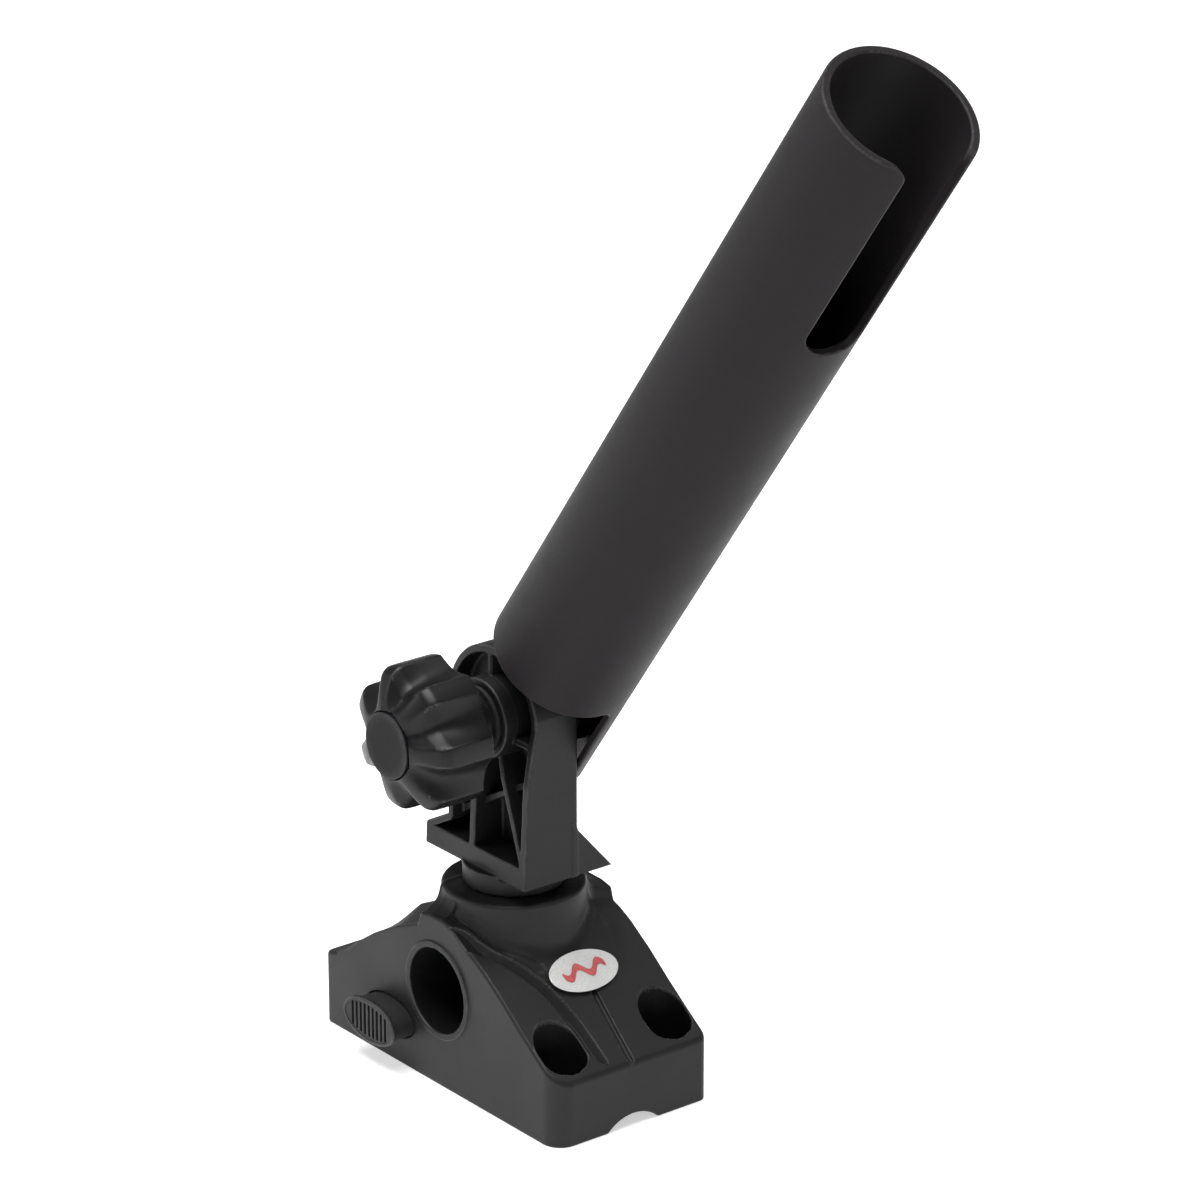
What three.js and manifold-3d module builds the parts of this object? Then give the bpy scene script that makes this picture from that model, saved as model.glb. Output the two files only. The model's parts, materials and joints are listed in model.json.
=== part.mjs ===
// Fishing rod holder: screw-down base with a release button, swivelling upright,
// and a slotted rod tube clamped to the upright by a seven-lobed knob.
// Millimetres, +Z up.  The base stands on Z = 0 with its long side along X, the
// upright turns about the Z axis, and the clamp bolt lies along Y.
import * as THREE from 'three';
import { mergeVertices } from 'three/addons/utils/BufferGeometryUtils.js';
import Module from 'manifold-3d';

const wasm = await Module();
wasm.setup();

// ---------------------------------------------------------------- sizes
const GAP = 0.3;                  // air left between touching pieces

// base housing
const BASE_BACK = -64;            // X of the far short end
const BASE_FRONT = 59.8;          // X of the end nearest the badge
const BASE_NEAR = -29.6;          // Y of the button side
const BASE_FAR = 31.4;            // Y of the plain side
const BASE_CORNER = 7;            // upright corners below the badge's channel and opposite
const TIGHT_CORNER = 3;           // the other two upright corners
const BASE_WALL = 3;
const END_HEIGHT = 21.8;          // height of the short end wall nearest the badge
const BACK_END_HEIGHT = 25;       // height of the other short end wall
const SADDLE_HEIGHT = 58.5;       // raised band that carries the collar
const COLLAR_RADIUS = 23.3;
const COLLAR_TOP = 65;
const SOCKET_RADIUS = 14.8;       // bore that takes the stem of the upright
const SOCKET_WALL = 2.4;
const SIDE_SOCKET_RADIUS = 14.4;
const SIDE_SOCKET_Z = 33.3;
const SIDE_SOCKET_X = -1.5;
const SIDE_SOCKET_END = 15;       // Y where the side socket stops

// screw pockets in the slopes
const POCKET_X = [-50.5, 49];
const POCKET_Y = [-20, 22];
const POCKET_RADIUS = 8.2;
const POCKET_FLOOR = 5;
const SCREW_HOLE_RADIUS = 2.7;

// release button and latch
const BUTTON_X = -27.7;
const BUTTON_Z = 15.2;
const BUTTON_LENGTH = 27.6;
const BUTTON_HEIGHT = 15;
const BUTTON_FACE_Y = -38.5;
const BUTTON_CAP = 2;
const SHANK_LENGTH = 25.6;
const SHANK_HEIGHT = 13;
const SHANK_INNER_Y = -21.5;
const LATCH_LOW = 10;
const LATCH_HIGH = 13;
const LATCH_HOLE_RADIUS = 15.45;
const LATCH_HOLE_Y = -2.45;
const SPRING_RADIUS = 2.6;
const SPRING_WIRE = 0.45;
const SPRING_END_Y = -9.6;
const SPRING_X = [-34.6, -23.4];

// bottom cover inside the base
const COVER_LOW = 3;
const COVER_HIGH = 5.5;
const COVER_X = 36;               // half length
const COVER_Y = 23;               // half width
const COVER_TONGUE_X = 50;
const COVER_TONGUE_Y = 8.6;
const COVER_SCREW_X = 45.5;
const COVER_SCREW_Y = 4.8;

// upright
const STEM_RADIUS = 14.4;
const STEM_END = 6.2;
const GROOVE_LOW = 9.4;
const GROOVE_HIGH = 13.6;
const GROOVE_RADIUS = 12.4;
const SHOULDER_RADIUS = 16.5;
const FOOT_LOW = 71;
const FOOT_HIGH = 78.5;
const TOE_X = -29.3;
const WALL_X = 22.5;
const FOOT_NEAR_Y = -13.4;
const FOOT_FAR_Y = 22.4;
const HEAD_NEAR_Y = -8.3;
const HEAD_FAR_Y = 8.4;
const WEB_HALF = 1.6;
const FLANGE = 2.6;
const RIB = 2.2;
const SHANK_X = -18;
const GUSSET_TOP = 87;

// clamp axis, parallel to Y
const AXIS_Z = 123;
const HEAD_RADIUS = 22.9;
const HUB_RADIUS = 13.2;
const HUB_NEAR_Y = -13;
const BOSS_RADIUS = 15;
const BOSS_FAR_Y = 13;
const BOLT_RADIUS = 3.95;
const BOLT_HOLE_RADIUS = 4.3;

// rod tube
const LEAN = THREE.MathUtils.degToRad(36.1);   // from upright toward +X
const TUBE_RADIUS = 24;
const TUBE_BORE = 21.3;
const TUBE_LENGTH = 257;
const TUBE_Y = 4.6;                // middle plane of the tube
const TUBE_AHEAD = 3.1;            // tube axis ahead of the clamp axis
const TUBE_RISE = 31.1;            // clamp axis to the square-cut lower rim
const SLOT_HALF_ANGLE = 28.2;
const SLOT_LENGTH = 78;
const EAR_RADIUS = 23.2;
const EAR_AHEAD = 4;               // the ear's round end, ahead of the clamp axis
const EAR_EDGE_Y = 9.2;            // the ear stays clear of the upright's head
const EAR_FILLET = 6;
const EAR_BOSS_Y = 14.7;
const BOLT_SEAT_Y = 23.2;

// knob
const KNOB_LOBES = 7;
const KNOB_RADIUS = 23.8;
const KNOB_FIRST_LOBE = 106;       // degrees from +X
const KNOB_LAND = 8.3;             // half width of a lobe's land, in degrees
const KNOB_DOME = 76;              // front dome: radius squared over depth
const KNOB_NEAR_Y = -50.9;         // where the dome would end without its cap
const KNOB_REAR_Y = -25.4;
const KNOB_NECK_Y = -15.3;
const KNOB_NECK_RADIUS = 10.2;
const KNOB_CAP_RADIUS = 10.8;
const KNOB_CAP_Y = -49.8;
const KNOB_SEAT_Y = -46.6;

// badge on the front slope
const BADGE_X = 31.5;
const BADGE_Y = 3;
const BADGE_LONG = 13.1;
const BADGE_SHORT = 7.4;

// ---------------------------------------------------------------- helpers
function toSolid(geometry) {
  const bare = geometry.index ? geometry.toNonIndexed() : geometry.clone();
  bare.deleteAttribute('normal');
  bare.deleteAttribute('uv');
  const merged = mergeVertices(bare, 1e-4);
  const mesh = new wasm.Mesh({
    numProp: 3,
    vertProperties: new Float32Array(merged.attributes.position.array),
    triVerts: new Uint32Array(merged.index.array),
  });
  return new wasm.Manifold(mesh);
}

function toGeometry(solid) {
  const mesh = solid.getMesh();
  const geometry = new THREE.BufferGeometry();
  geometry.setAttribute('position', new THREE.BufferAttribute(mesh.vertProperties, 3));
  geometry.setIndex(new THREE.BufferAttribute(mesh.triVerts, 1));
  const merged = mergeVertices(geometry, 1e-3);
  merged.computeVertexNormals();
  return merged;
}

function union(...solids) {
  return solids.reduce((total, solid) => total.add(solid));
}

function block(x0, x1, y0, y1, z0, z1) {
  const geometry = new THREE.BoxGeometry(x1 - x0, y1 - y0, z1 - z0);
  geometry.translate((x0 + x1) / 2, (y0 + y1) / 2, (z0 + z1) / 2);
  return toSolid(geometry);
}

// round bar along Z
function barZ(x, y, radius, z0, z1, segments = 48) {
  const geometry = new THREE.CylinderGeometry(radius, radius, z1 - z0, segments);
  geometry.rotateX(Math.PI / 2);
  geometry.translate(x, y, (z0 + z1) / 2);
  return toSolid(geometry);
}

// round bar along Y
function barY(x, z, radius, y0, y1, segments = 48) {
  const geometry = new THREE.CylinderGeometry(radius, radius, y1 - y0, segments);
  geometry.translate(x, (y0 + y1) / 2, z);
  return toSolid(geometry);
}

// turned shape about Z from [radius, z] pairs that start and end on the axis
function turnedZ(pairs, segments = 48) {
  const points = pairs.map(([radius, z]) => new THREE.Vector2(radius, z));
  const geometry = new THREE.LatheGeometry(points, segments);
  geometry.rotateX(Math.PI / 2);
  return toSolid(geometry);
}

// turned shape about the line x, z parallel to Y, from [radius, y] pairs
function turnedY(x, z, pairs, segments = 48) {
  const points = pairs.map(([radius, y]) => new THREE.Vector2(radius, y));
  const geometry = new THREE.LatheGeometry(points, segments);
  geometry.translate(x, 0, z);
  return toSolid(geometry);
}

// outline drawn in X and Z, pushed along Y from y0 to y1
function slabY(shape, y0, y1, curveSegments = 12) {
  const geometry = new THREE.ExtrudeGeometry(shape, {
    depth: y1 - y0,
    bevelEnabled: false,
    curveSegments,
  });
  geometry.rotateX(Math.PI / 2);
  geometry.translate(0, y1, 0);
  return toSolid(geometry);
}

// outline given in Y and Z, pushed along X from x0 to x1
function slabX(pairs, x0, x1) {
  const geometry = new THREE.ExtrudeGeometry(outline(pairs), { depth: x1 - x0, bevelEnabled: false });
  geometry.applyMatrix4(new THREE.Matrix4().makeBasis(
    new THREE.Vector3(0, 1, 0),
    new THREE.Vector3(0, 0, 1),
    new THREE.Vector3(1, 0, 0),
  ));
  geometry.translate(x0, 0, 0);
  return toSolid(geometry);
}

// outline drawn in X and Y, pushed along Z from z0 to z1
function slabZ(shape, z0, z1, curveSegments = 8) {
  const geometry = new THREE.ExtrudeGeometry(shape, {
    depth: z1 - z0,
    bevelEnabled: false,
    curveSegments,
  });
  geometry.translate(0, 0, z0);
  return toSolid(geometry);
}

function outline(pairs) {
  return new THREE.Shape(pairs.map(([u, v]) => new THREE.Vector2(u, v)));
}

function roundedBox(cu, cv, width, height, radius) {
  const u = cu - width / 2;
  const v = cv - height / 2;
  const shape = new THREE.Shape();
  shape.moveTo(u + radius, v);
  shape.lineTo(u + width - radius, v);
  shape.absarc(u + width - radius, v + radius, radius, -Math.PI / 2, 0);
  shape.lineTo(u + width, v + height - radius);
  shape.absarc(u + width - radius, v + height - radius, radius, 0, Math.PI / 2);
  shape.lineTo(u + radius, v + height);
  shape.absarc(u + radius, v + height - radius, radius, Math.PI / 2, Math.PI);
  shape.lineTo(u, v + radius);
  shape.absarc(u + radius, v + radius, radius, Math.PI, Math.PI * 1.5);
  shape.closePath();
  return shape;
}

function oval(cu, cv, width, height) {
  const shape = new THREE.Shape();
  shape.absellipse(cu, cv, width / 2, height / 2, 0, Math.PI * 2, false, 0);
  return shape;
}

function arcPairs(cu, cv, radius, startDegrees, endDegrees, steps) {
  const pairs = [];
  for (let i = 0; i <= steps; i += 1) {
    const angle = THREE.MathUtils.degToRad(startDegrees + ((endDegrees - startDegrees) * i) / steps);
    pairs.push([cu + radius * Math.cos(angle), cv + radius * Math.sin(angle)]);
  }
  return pairs;
}

function hexPairs(cu, cv, acrossFlats) {
  return arcPairs(cu, cv, acrossFlats / Math.sqrt(3), 0, 300, 5);
}

const group = new THREE.Group();
group.name = 'rod_holder';

function addPiece(name, solid, colour, roughness, metalness) {
  const material = new THREE.MeshStandardMaterial({ color: colour, roughness, metalness });
  const mesh = new THREE.Mesh(toGeometry(solid), material);
  mesh.name = name;
  group.add(mesh);
}

const BLACK = 0x38383a;
const TUBE_BLACK = 0x3a3739;
const STEEL = 0xb9bcc0;

// ---------------------------------------------------------------- base housing
// [distance from the turning axis, height] of the two slopes
const SLOPE = [
  [14.2, 52.8],
  [21, 49.2],
  [31, 42.6],
  [41, 35],
  [50, 28.6],
  [BASE_FRONT, END_HEIGHT],
];
const BACK_SLOPE = [
  [14.2, 52.2],
  [24.2, 47.8],
  [31.1, 44],
  [37.2, 40.5],
  [45.1, 35.1],
  [52.2, 29.5],
  [57.5, 26.3],
  [-BASE_BACK, BACK_END_HEIGHT],
];

function slopeHeight(x) {
  for (let i = 1; i < SLOPE.length; i += 1) {
    const [x0, z0] = SLOPE[i - 1];
    const [x1, z1] = SLOPE[i];
    if (x <= x1) {
      return z0 + ((z1 - z0) * (x - x0)) / (x1 - x0);
    }
  }
  return END_HEIGHT;
}

// The band drops to a slope over a step at one end of the saddle and down a
// ramp at the other; the base is the same after half a turn about Z.
const STEP = [[12.4, 53.4], [10.9, 57.4], [6, SADDLE_HEIGHT]];
const RAMP = [[7.3, 56.9], [1, SADDLE_HEIGHT]];

function halfProfile(inset, slopePairs, crest) {
  const last = slopePairs.length - 1;
  const slope = slopePairs.map(([x, z], index) => [x - inset * (index === last ? 1 : 0.55), z - inset]);
  const top = crest.map(([x, z]) => [Math.max(x - inset * 0.6, 0.4), z - inset]);
  return [[slopePairs[last][0] - inset, -5], ...slope.reverse(), ...top];
}

function sideProfile(inset, frontCrest, backCrest) {
  const back = halfProfile(inset, BACK_SLOPE, backCrest).map(([x, z]) => [-x, z]).reverse();
  return outline([...halfProfile(inset, SLOPE, frontCrest), ...back]);
}

// roof shape between y0 and y1, ramp to the front on the button side
function roofed(inset, y0, y1) {
  const middle = (BASE_NEAR + BASE_FAR) / 2;
  return slabY(sideProfile(inset, RAMP, STEP), y0, middle)
    .add(slabY(sideProfile(inset, STEP, RAMP), middle, y1));
}

function footprint(inset) {
  const x0 = BASE_BACK + inset;
  const x1 = BASE_FRONT - inset;
  const y0 = BASE_NEAR + inset;
  const y1 = BASE_FAR - inset;
  const wide = BASE_CORNER - inset;
  const tight = Math.max(TIGHT_CORNER - inset, 0.8);
  const shape = new THREE.Shape();
  shape.moveTo(x0 + tight, y0);
  shape.lineTo(x1 - wide, y0);
  shape.absarc(x1 - wide, y0 + wide, wide, -Math.PI / 2, 0);
  shape.lineTo(x1, y1 - tight);
  shape.absarc(x1 - tight, y1 - tight, tight, 0, Math.PI / 2);
  shape.lineTo(x0 + wide, y1);
  shape.absarc(x0 + wide, y1 - wide, wide, Math.PI / 2, Math.PI);
  shape.lineTo(x0, y0 + tight);
  shape.absarc(x0 + tight, y0 + tight, tight, Math.PI, Math.PI * 1.5);
  shape.closePath();
  return shape;
}

function housingShell() {
  return roofed(0, BASE_NEAR, BASE_FAR).intersect(slabZ(footprint(0), 0, 80, 8));
}

function housingCavity() {
  return roofed(BASE_WALL, BASE_NEAR + BASE_WALL, BASE_FAR - BASE_WALL)
    .intersect(slabZ(footprint(BASE_WALL), -5, 80, 6));
}

function pocketSpots() {
  const spots = [];
  for (const x of POCKET_X) {
    for (const y of POCKET_Y) {
      spots.push([x, y]);
    }
  }
  return spots;
}

function coverScrewSpots() {
  const spots = [];
  for (const sx of [-1, 1]) {
    for (const sy of [-1, 1]) {
      spots.push([sx * COVER_SCREW_X, sy * COVER_SCREW_Y]);
    }
  }
  return spots;
}

function makeHousing() {
  const shell = housingShell();
  let inner = housingCavity();

  // walls of the two sockets, the screw pockets and the cover bosses stay solid
  inner = inner.subtract(barZ(0, 0, SOCKET_RADIUS + SOCKET_WALL, 15, 80, 40));
  inner = inner.subtract(
    barY(
      SIDE_SOCKET_X,
      SIDE_SOCKET_Z,
      SIDE_SOCKET_RADIUS + SOCKET_WALL,
      -40,
      SIDE_SOCKET_END + 2.5,
      40,
    ),
  );
  for (const [x, y] of pocketSpots()) {
    inner = inner.subtract(barZ(x, y, POCKET_RADIUS + 1.6, -6, 60, 28));
  }
  for (const [x, y] of coverScrewSpots()) {
    inner = inner.subtract(barZ(x, y, 3.4, COVER_HIGH + GAP, 60, 12));
  }
  // stop wall behind the button springs
  inner = inner.subtract(block(-39, -18.5, SPRING_END_Y + GAP, SPRING_END_Y + 2.6, 13.6, 60));

  const collar = turnedZ([
    [0, 44],
    [COLLAR_RADIUS, 44],
    [COLLAR_RADIUS, COLLAR_TOP - 1.4],
    [COLLAR_RADIUS - 0.5, COLLAR_TOP - 0.4],
    [COLLAR_RADIUS - 1.5, COLLAR_TOP],
    [0, COLLAR_TOP],
  ], 56);
  const ring = turnedY(SIDE_SOCKET_X, SIDE_SOCKET_Z, [
    [0, BASE_NEAR - 0.8],
    [SIDE_SOCKET_RADIUS + 1.5, BASE_NEAR - 0.8],
    [SIDE_SOCKET_RADIUS + 2.3, BASE_NEAR + 0.5],
    [0, BASE_NEAR + 0.5],
  ], 40);

  let housing = shell.add(collar).add(ring);
  housing = housing.subtract(inner);
  housing = housing.subtract(barZ(0, 0, SOCKET_RADIUS, 6, 90, 48));
  housing = housing.subtract(
    barY(SIDE_SOCKET_X, SIDE_SOCKET_Z, SIDE_SOCKET_RADIUS, -60, SIDE_SOCKET_END, 48),
  );
  // the stem bore opens into the hollow below the sockets
  housing = housing.subtract(barZ(0, 0, SOCKET_RADIUS, -1, 30, 48));

  for (const [x, y] of pocketSpots()) {
    housing = housing.subtract(barZ(x, y, POCKET_RADIUS, POCKET_FLOOR, 60, 28));
    housing = housing.subtract(barZ(x, y, SCREW_HOLE_RADIUS, -1, 60, 16));
  }
  for (const [x, y] of coverScrewSpots()) {
    housing = housing.subtract(barZ(x, y, 1.7, COVER_HIGH - 1, COVER_HIGH + 8, 12));
  }
  const buttonWindow = oval(BUTTON_X, BUTTON_Z, SHANK_LENGTH + 0.8, SHANK_HEIGHT + 0.8);
  housing = housing.subtract(slabY(buttonWindow, -40, -20, 24));
  // room for the latch plate to slide below the sockets
  housing = housing.subtract(block(-42, 23, -24.2, 26.4, 9.6, 13.4));
  // shallow arch in each end wall
  for (const x of [BASE_BACK, BASE_FRONT]) {
    const arch = new THREE.CylinderGeometry(14.5, 14.5, BASE_WALL * 2 + 0.4, 40);
    arch.rotateZ(Math.PI / 2);
    arch.translate(x, 1.2, -10.4);
    housing = housing.subtract(toSolid(arch));
  }
  return housing;
}

addPiece('base_housing', makeHousing(), BLACK, 0.62, 0);

// ---------------------------------------------------------------- bottom cover
function makeCover() {
  let cover = slabZ(roundedBox(0, 0, COVER_X * 2, COVER_Y * 2, 4), COVER_LOW, COVER_HIGH, 4);
  const tongues = roundedBox(0, 0, COVER_TONGUE_X * 2, COVER_TONGUE_Y * 2, 3);
  cover = cover.add(slabZ(tongues, COVER_LOW, COVER_HIGH, 4));
  // rails that carry the latch plate
  for (const x of [-35, 17]) {
    cover = cover.add(block(x, x + 4, -14, 14, COVER_HIGH - 1, LATCH_LOW - GAP));
  }
  for (const [x, y] of coverScrewSpots()) {
    cover = cover.subtract(barZ(x, y, 2, 0, 12, 16));
  }
  return cover;
}

addPiece('bottom_cover', makeCover(), BLACK, 0.6, 0);

coverScrewSpots().forEach(([x, y], index) => {
  const screw = turnedZ([
    [0, 0.9],
    [2.6, 0.9],
    [3, 1.3],
    [3, COVER_LOW - GAP],
    [1.4, COVER_LOW - GAP],
    [1.4, COVER_HIGH + 6],
    [0, COVER_HIGH + 7],
  ], 16).translate([x, y, 0]);
  const slot = block(x - 4, x + 4, y - 0.4, y + 0.4, 0, 1.6);
  addPiece(`cover_screw_${index + 1}`, screw.subtract(slot), STEEL, 0.35, 1);
});

// ---------------------------------------------------------------- badge
const badgeTilt = Math.atan2(slopeHeight(26) - slopeHeight(35), 9);

function badgeSlab(long, short, low, high) {
  const shape = new THREE.Shape();
  shape.absellipse(0, 0, short, long, 0, Math.PI * 2, false, 0);
  const geometry = new THREE.ExtrudeGeometry(shape, {
    depth: high - low,
    bevelEnabled: false,
    curveSegments: 40,
  });
  geometry.translate(0, 0, low);
  geometry.rotateY(badgeTilt);
  geometry.translate(BADGE_X, BADGE_Y, slopeHeight(BADGE_X));
  return toSolid(geometry);
}

const badgeLift = 0.75;
addPiece('badge_plate', badgeSlab(BADGE_LONG, BADGE_SHORT, badgeLift, badgeLift + 0.8), 0xf4f4f2, 0.35, 0);

// one plain wave line on the badge
function makeWave() {
  const pairs = [];
  const back = [];
  for (let i = 0; i <= 24; i += 1) {
    const y = -8.4 + (16.8 * i) / 24;
    const x = 1.7 * Math.sin((y / 16.8) * Math.PI * 4);
    pairs.push([x - 1.3, y]);
    back.unshift([x + 1.3, y]);
  }
  const geometry = new THREE.ExtrudeGeometry(outline([...pairs, ...back]), {
    depth: 0.25,
    bevelEnabled: false,
  });
  geometry.translate(0, 0, badgeLift + 0.8 + 0.05);
  geometry.rotateY(badgeTilt);
  geometry.translate(BADGE_X, BADGE_Y, slopeHeight(BADGE_X));
  return toSolid(geometry);
}

addPiece('badge_wave', makeWave(), 0xc8242c, 0.4, 0);

// ---------------------------------------------------------------- release button
function makeButton() {
  const face = oval(BUTTON_X, BUTTON_Z, BUTTON_LENGTH, BUTTON_HEIGHT);
  const shank = oval(BUTTON_X, BUTTON_Z, SHANK_LENGTH, SHANK_HEIGHT);
  let button = slabY(face, BUTTON_FACE_Y, BUTTON_FACE_Y + BUTTON_CAP, 24);
  button = button.add(slabY(shank, BUTTON_FACE_Y + 1, SHANK_INNER_Y, 24));
  // nine upright grooves across the face
  for (let i = 0; i < 9; i += 1) {
    const across = 2.2 * (i - 4);
    const x = BUTTON_X + across;
    const half = (BUTTON_HEIGHT / 2 - 1.9) * Math.sqrt(1 - (across / (BUTTON_LENGTH / 2)) ** 2);
    button = button.subtract(
      block(x - 0.5, x + 0.5, BUTTON_FACE_Y - 1, BUTTON_FACE_Y + 0.8, BUTTON_Z - half, BUTTON_Z + half),
    );
  }
  // notch that takes the tab of the latch plate
  button = button.subtract(
    block(BUTTON_X - 6.3, BUTTON_X + 6.3, -27.3, -20, LATCH_LOW - GAP, LATCH_HIGH + GAP),
  );
  return button;
}

addPiece('release_button', makeButton(), BLACK, 0.6, 0);

function makeLatch() {
  const plate = slabZ(roundedBox(-8.5, 0.6, 60, 42, 3), LATCH_LOW, LATCH_HIGH, 4);
  const tab = block(BUTTON_X - 6, BUTTON_X + 6, -27, -15, LATCH_LOW, LATCH_HIGH);
  return plate.add(tab).subtract(barZ(0, LATCH_HOLE_Y, LATCH_HOLE_RADIUS, 5, 20, 48));
}

addPiece('latch_plate', makeLatch(), STEEL, 0.4, 1);

function makeSpring(x) {
  const turns = 5;
  const y0 = SHANK_INNER_Y + GAP + SPRING_WIRE;
  const y1 = SPRING_END_Y - SPRING_WIRE;
  class Coil extends THREE.Curve {
    getPoint(t) {
      const angle = t * turns * Math.PI * 2;
      return new THREE.Vector3(
        x + SPRING_RADIUS * Math.cos(angle),
        y0 + (y1 - y0) * t,
        BUTTON_Z + 1.6 + SPRING_RADIUS * Math.sin(angle),
      );
    }
  }
  const section = outline(arcPairs(0, 0, SPRING_WIRE, 0, 288, 4));
  const geometry = new THREE.ExtrudeGeometry(section, { steps: 60, extrudePath: new Coil() });
  return toSolid(geometry);
}

SPRING_X.forEach((x, index) => {
  addPiece(`button_spring_${index + 1}`, makeSpring(x), STEEL, 0.3, 1);
});

// ---------------------------------------------------------------- upright
function headPairs(inset) {
  const radius = HEAD_RADIUS - inset;
  const wall = WALL_X - inset;
  const shank = SHANK_X + inset;
  const wallAngle = THREE.MathUtils.radToDeg(Math.acos(Math.min(1, wall / radius)));
  const shankAngle = THREE.MathUtils.radToDeg(Math.acos(shank / radius));
  return arcPairs(0, AXIS_Z, radius, wallAngle, 360 - shankAngle, 26);
}

function uprightOutline(inset, low) {
  const toeTop = FOOT_HIGH + (inset > 0 ? 0 : 0.01);
  const shankJoin = toeTop + (SHANK_X - TOE_X) * 0.55;
  if (inset === 0) {
    return outline([
      [TOE_X, low],
      [WALL_X, low],
      ...headPairs(0),
      [SHANK_X, shankJoin],
      [TOE_X, toeTop],
    ]);
  }
  return outline([
    [TOE_X + 1.4, low],
    [WALL_X - inset, low],
    ...headPairs(inset),
    [SHANK_X + inset, shankJoin - 1.4],
    [TOE_X + 1.4, low + 0.2],
  ]);
}

function ribBetween(x0, z0, x1, z1, y0, y1, thickness = RIB) {
  const length = Math.hypot(x1 - x0, z1 - z0);
  const geometry = new THREE.BoxGeometry(length, y1 - y0, thickness);
  geometry.rotateY(-Math.atan2(z1 - z0, x1 - x0));
  geometry.translate((x0 + x1) / 2, (y0 + y1) / 2, (z0 + z1) / 2);
  return toSolid(geometry);
}

function ribSet(y0, y1) {
  return union(
    ribBetween(TOE_X, FOOT_HIGH, WALL_X, FOOT_HIGH + 29.3, Math.max(y0, -8.3), y1),
    ribBetween(-5, FOOT_HIGH - 1, -5, AXIS_Z, y0, y1, 3),
    ribBetween(21.4, FOOT_HIGH - 1, 4, AXIS_Z - 4, y0, y1),
    ribBetween(5, 118.4, WALL_X, 118.4, y0, y1),
    ribBetween(-1, AXIS_Z, -1, AXIS_Z + HEAD_RADIUS - 1, y0, y1),
  );
}

function makeUpright() {
  const near = FOOT_NEAR_Y;
  const far = HEAD_FAR_Y;
  let upright = slabY(uprightOutline(0, FOOT_LOW), near, far, 12);

  // front edges draw back from the foot to the head
  upright = upright.subtract(slabX([
    [near - 3, 72],
    [near, 72],
    [near + 1.6, 105.6],
    [HEAD_NEAR_Y, 124],
    [HEAD_NEAR_Y, 160],
    [near - 3, 160],
  ], -45, 45));

  const openings = uprightOutline(FLANGE, FOOT_HIGH);
  const nearPocket = slabY(openings, near - 5, -WEB_HALF, 12)
    .subtract(ribSet(near - 6, 0))
    .subtract(barY(0, AXIS_Z, HUB_RADIUS, near - 6, 0, 40));
  const farPocket = slabY(openings, WEB_HALF, far + 5, 12)
    .subtract(ribSet(0, far + 6))
    .subtract(barY(0, AXIS_Z, BOSS_RADIUS, 0, far + 6, 40));
  upright = upright.subtract(nearPocket).subtract(farPocket);

  // hub on the knob side and boss on the tube side
  upright = upright.add(barY(0, AXIS_Z, HUB_RADIUS, HUB_NEAR_Y, 0, 40));
  upright = upright.add(barY(0, AXIS_Z, BOSS_RADIUS, 0, BOSS_FAR_Y, 40));

  // foot plate and two gussets on the far side share one sloping edge
  const edgeSlope = (GUSSET_TOP - FOOT_LOW) / (FOOT_FAR_Y - far);
  const plateTop = FOOT_LOW + 3.4;
  const plateFar = FOOT_FAR_Y - (plateTop - FOOT_LOW) / edgeSlope;
  upright = upright.add(slabX([
    [far - 1, FOOT_LOW],
    [FOOT_FAR_Y, FOOT_LOW],
    [plateFar, plateTop],
    [far - 1, plateTop],
  ], TOE_X, WALL_X));
  for (const x of [SHANK_X, WALL_X - FLANGE]) {
    upright = upright.add(slabX([
      [far - 1, FOOT_LOW],
      [FOOT_FAR_Y, FOOT_LOW],
      [far, GUSSET_TOP],
      [far - 1, GUSSET_TOP],
    ], x, x + FLANGE));
  }

  // shoulder and stem
  upright = upright.add(turnedZ([
    [0, STEM_END],
    [STEM_RADIUS - 1.5, STEM_END],
    [STEM_RADIUS, STEM_END + 1.5],
    [STEM_RADIUS, GROOVE_LOW],
    [GROOVE_RADIUS, GROOVE_LOW],
    [GROOVE_RADIUS, GROOVE_HIGH],
    [STEM_RADIUS, GROOVE_HIGH],
    [STEM_RADIUS, COLLAR_TOP + GAP],
    [SHOULDER_RADIUS, COLLAR_TOP + GAP],
    [SHOULDER_RADIUS, FOOT_LOW + 1],
    [0, FOOT_LOW + 1],
  ], 48));

  return upright.subtract(barY(0, AXIS_Z, BOLT_HOLE_RADIUS, -40, 40, 24));
}

addPiece('post_upright', makeUpright(), BLACK, 0.62, 0);

// ---------------------------------------------------------------- rod tube
// The tube is drawn standing on its own axes (u ahead, v up, w along world Y)
// with the clamp axis at the origin, then leaned about the clamp axis.
function leaned(solid) {
  const degrees = THREE.MathUtils.radToDeg(LEAN);
  return solid.rotate([0, degrees, 0]).translate([0, 0, AXIS_Z]);
}

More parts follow.
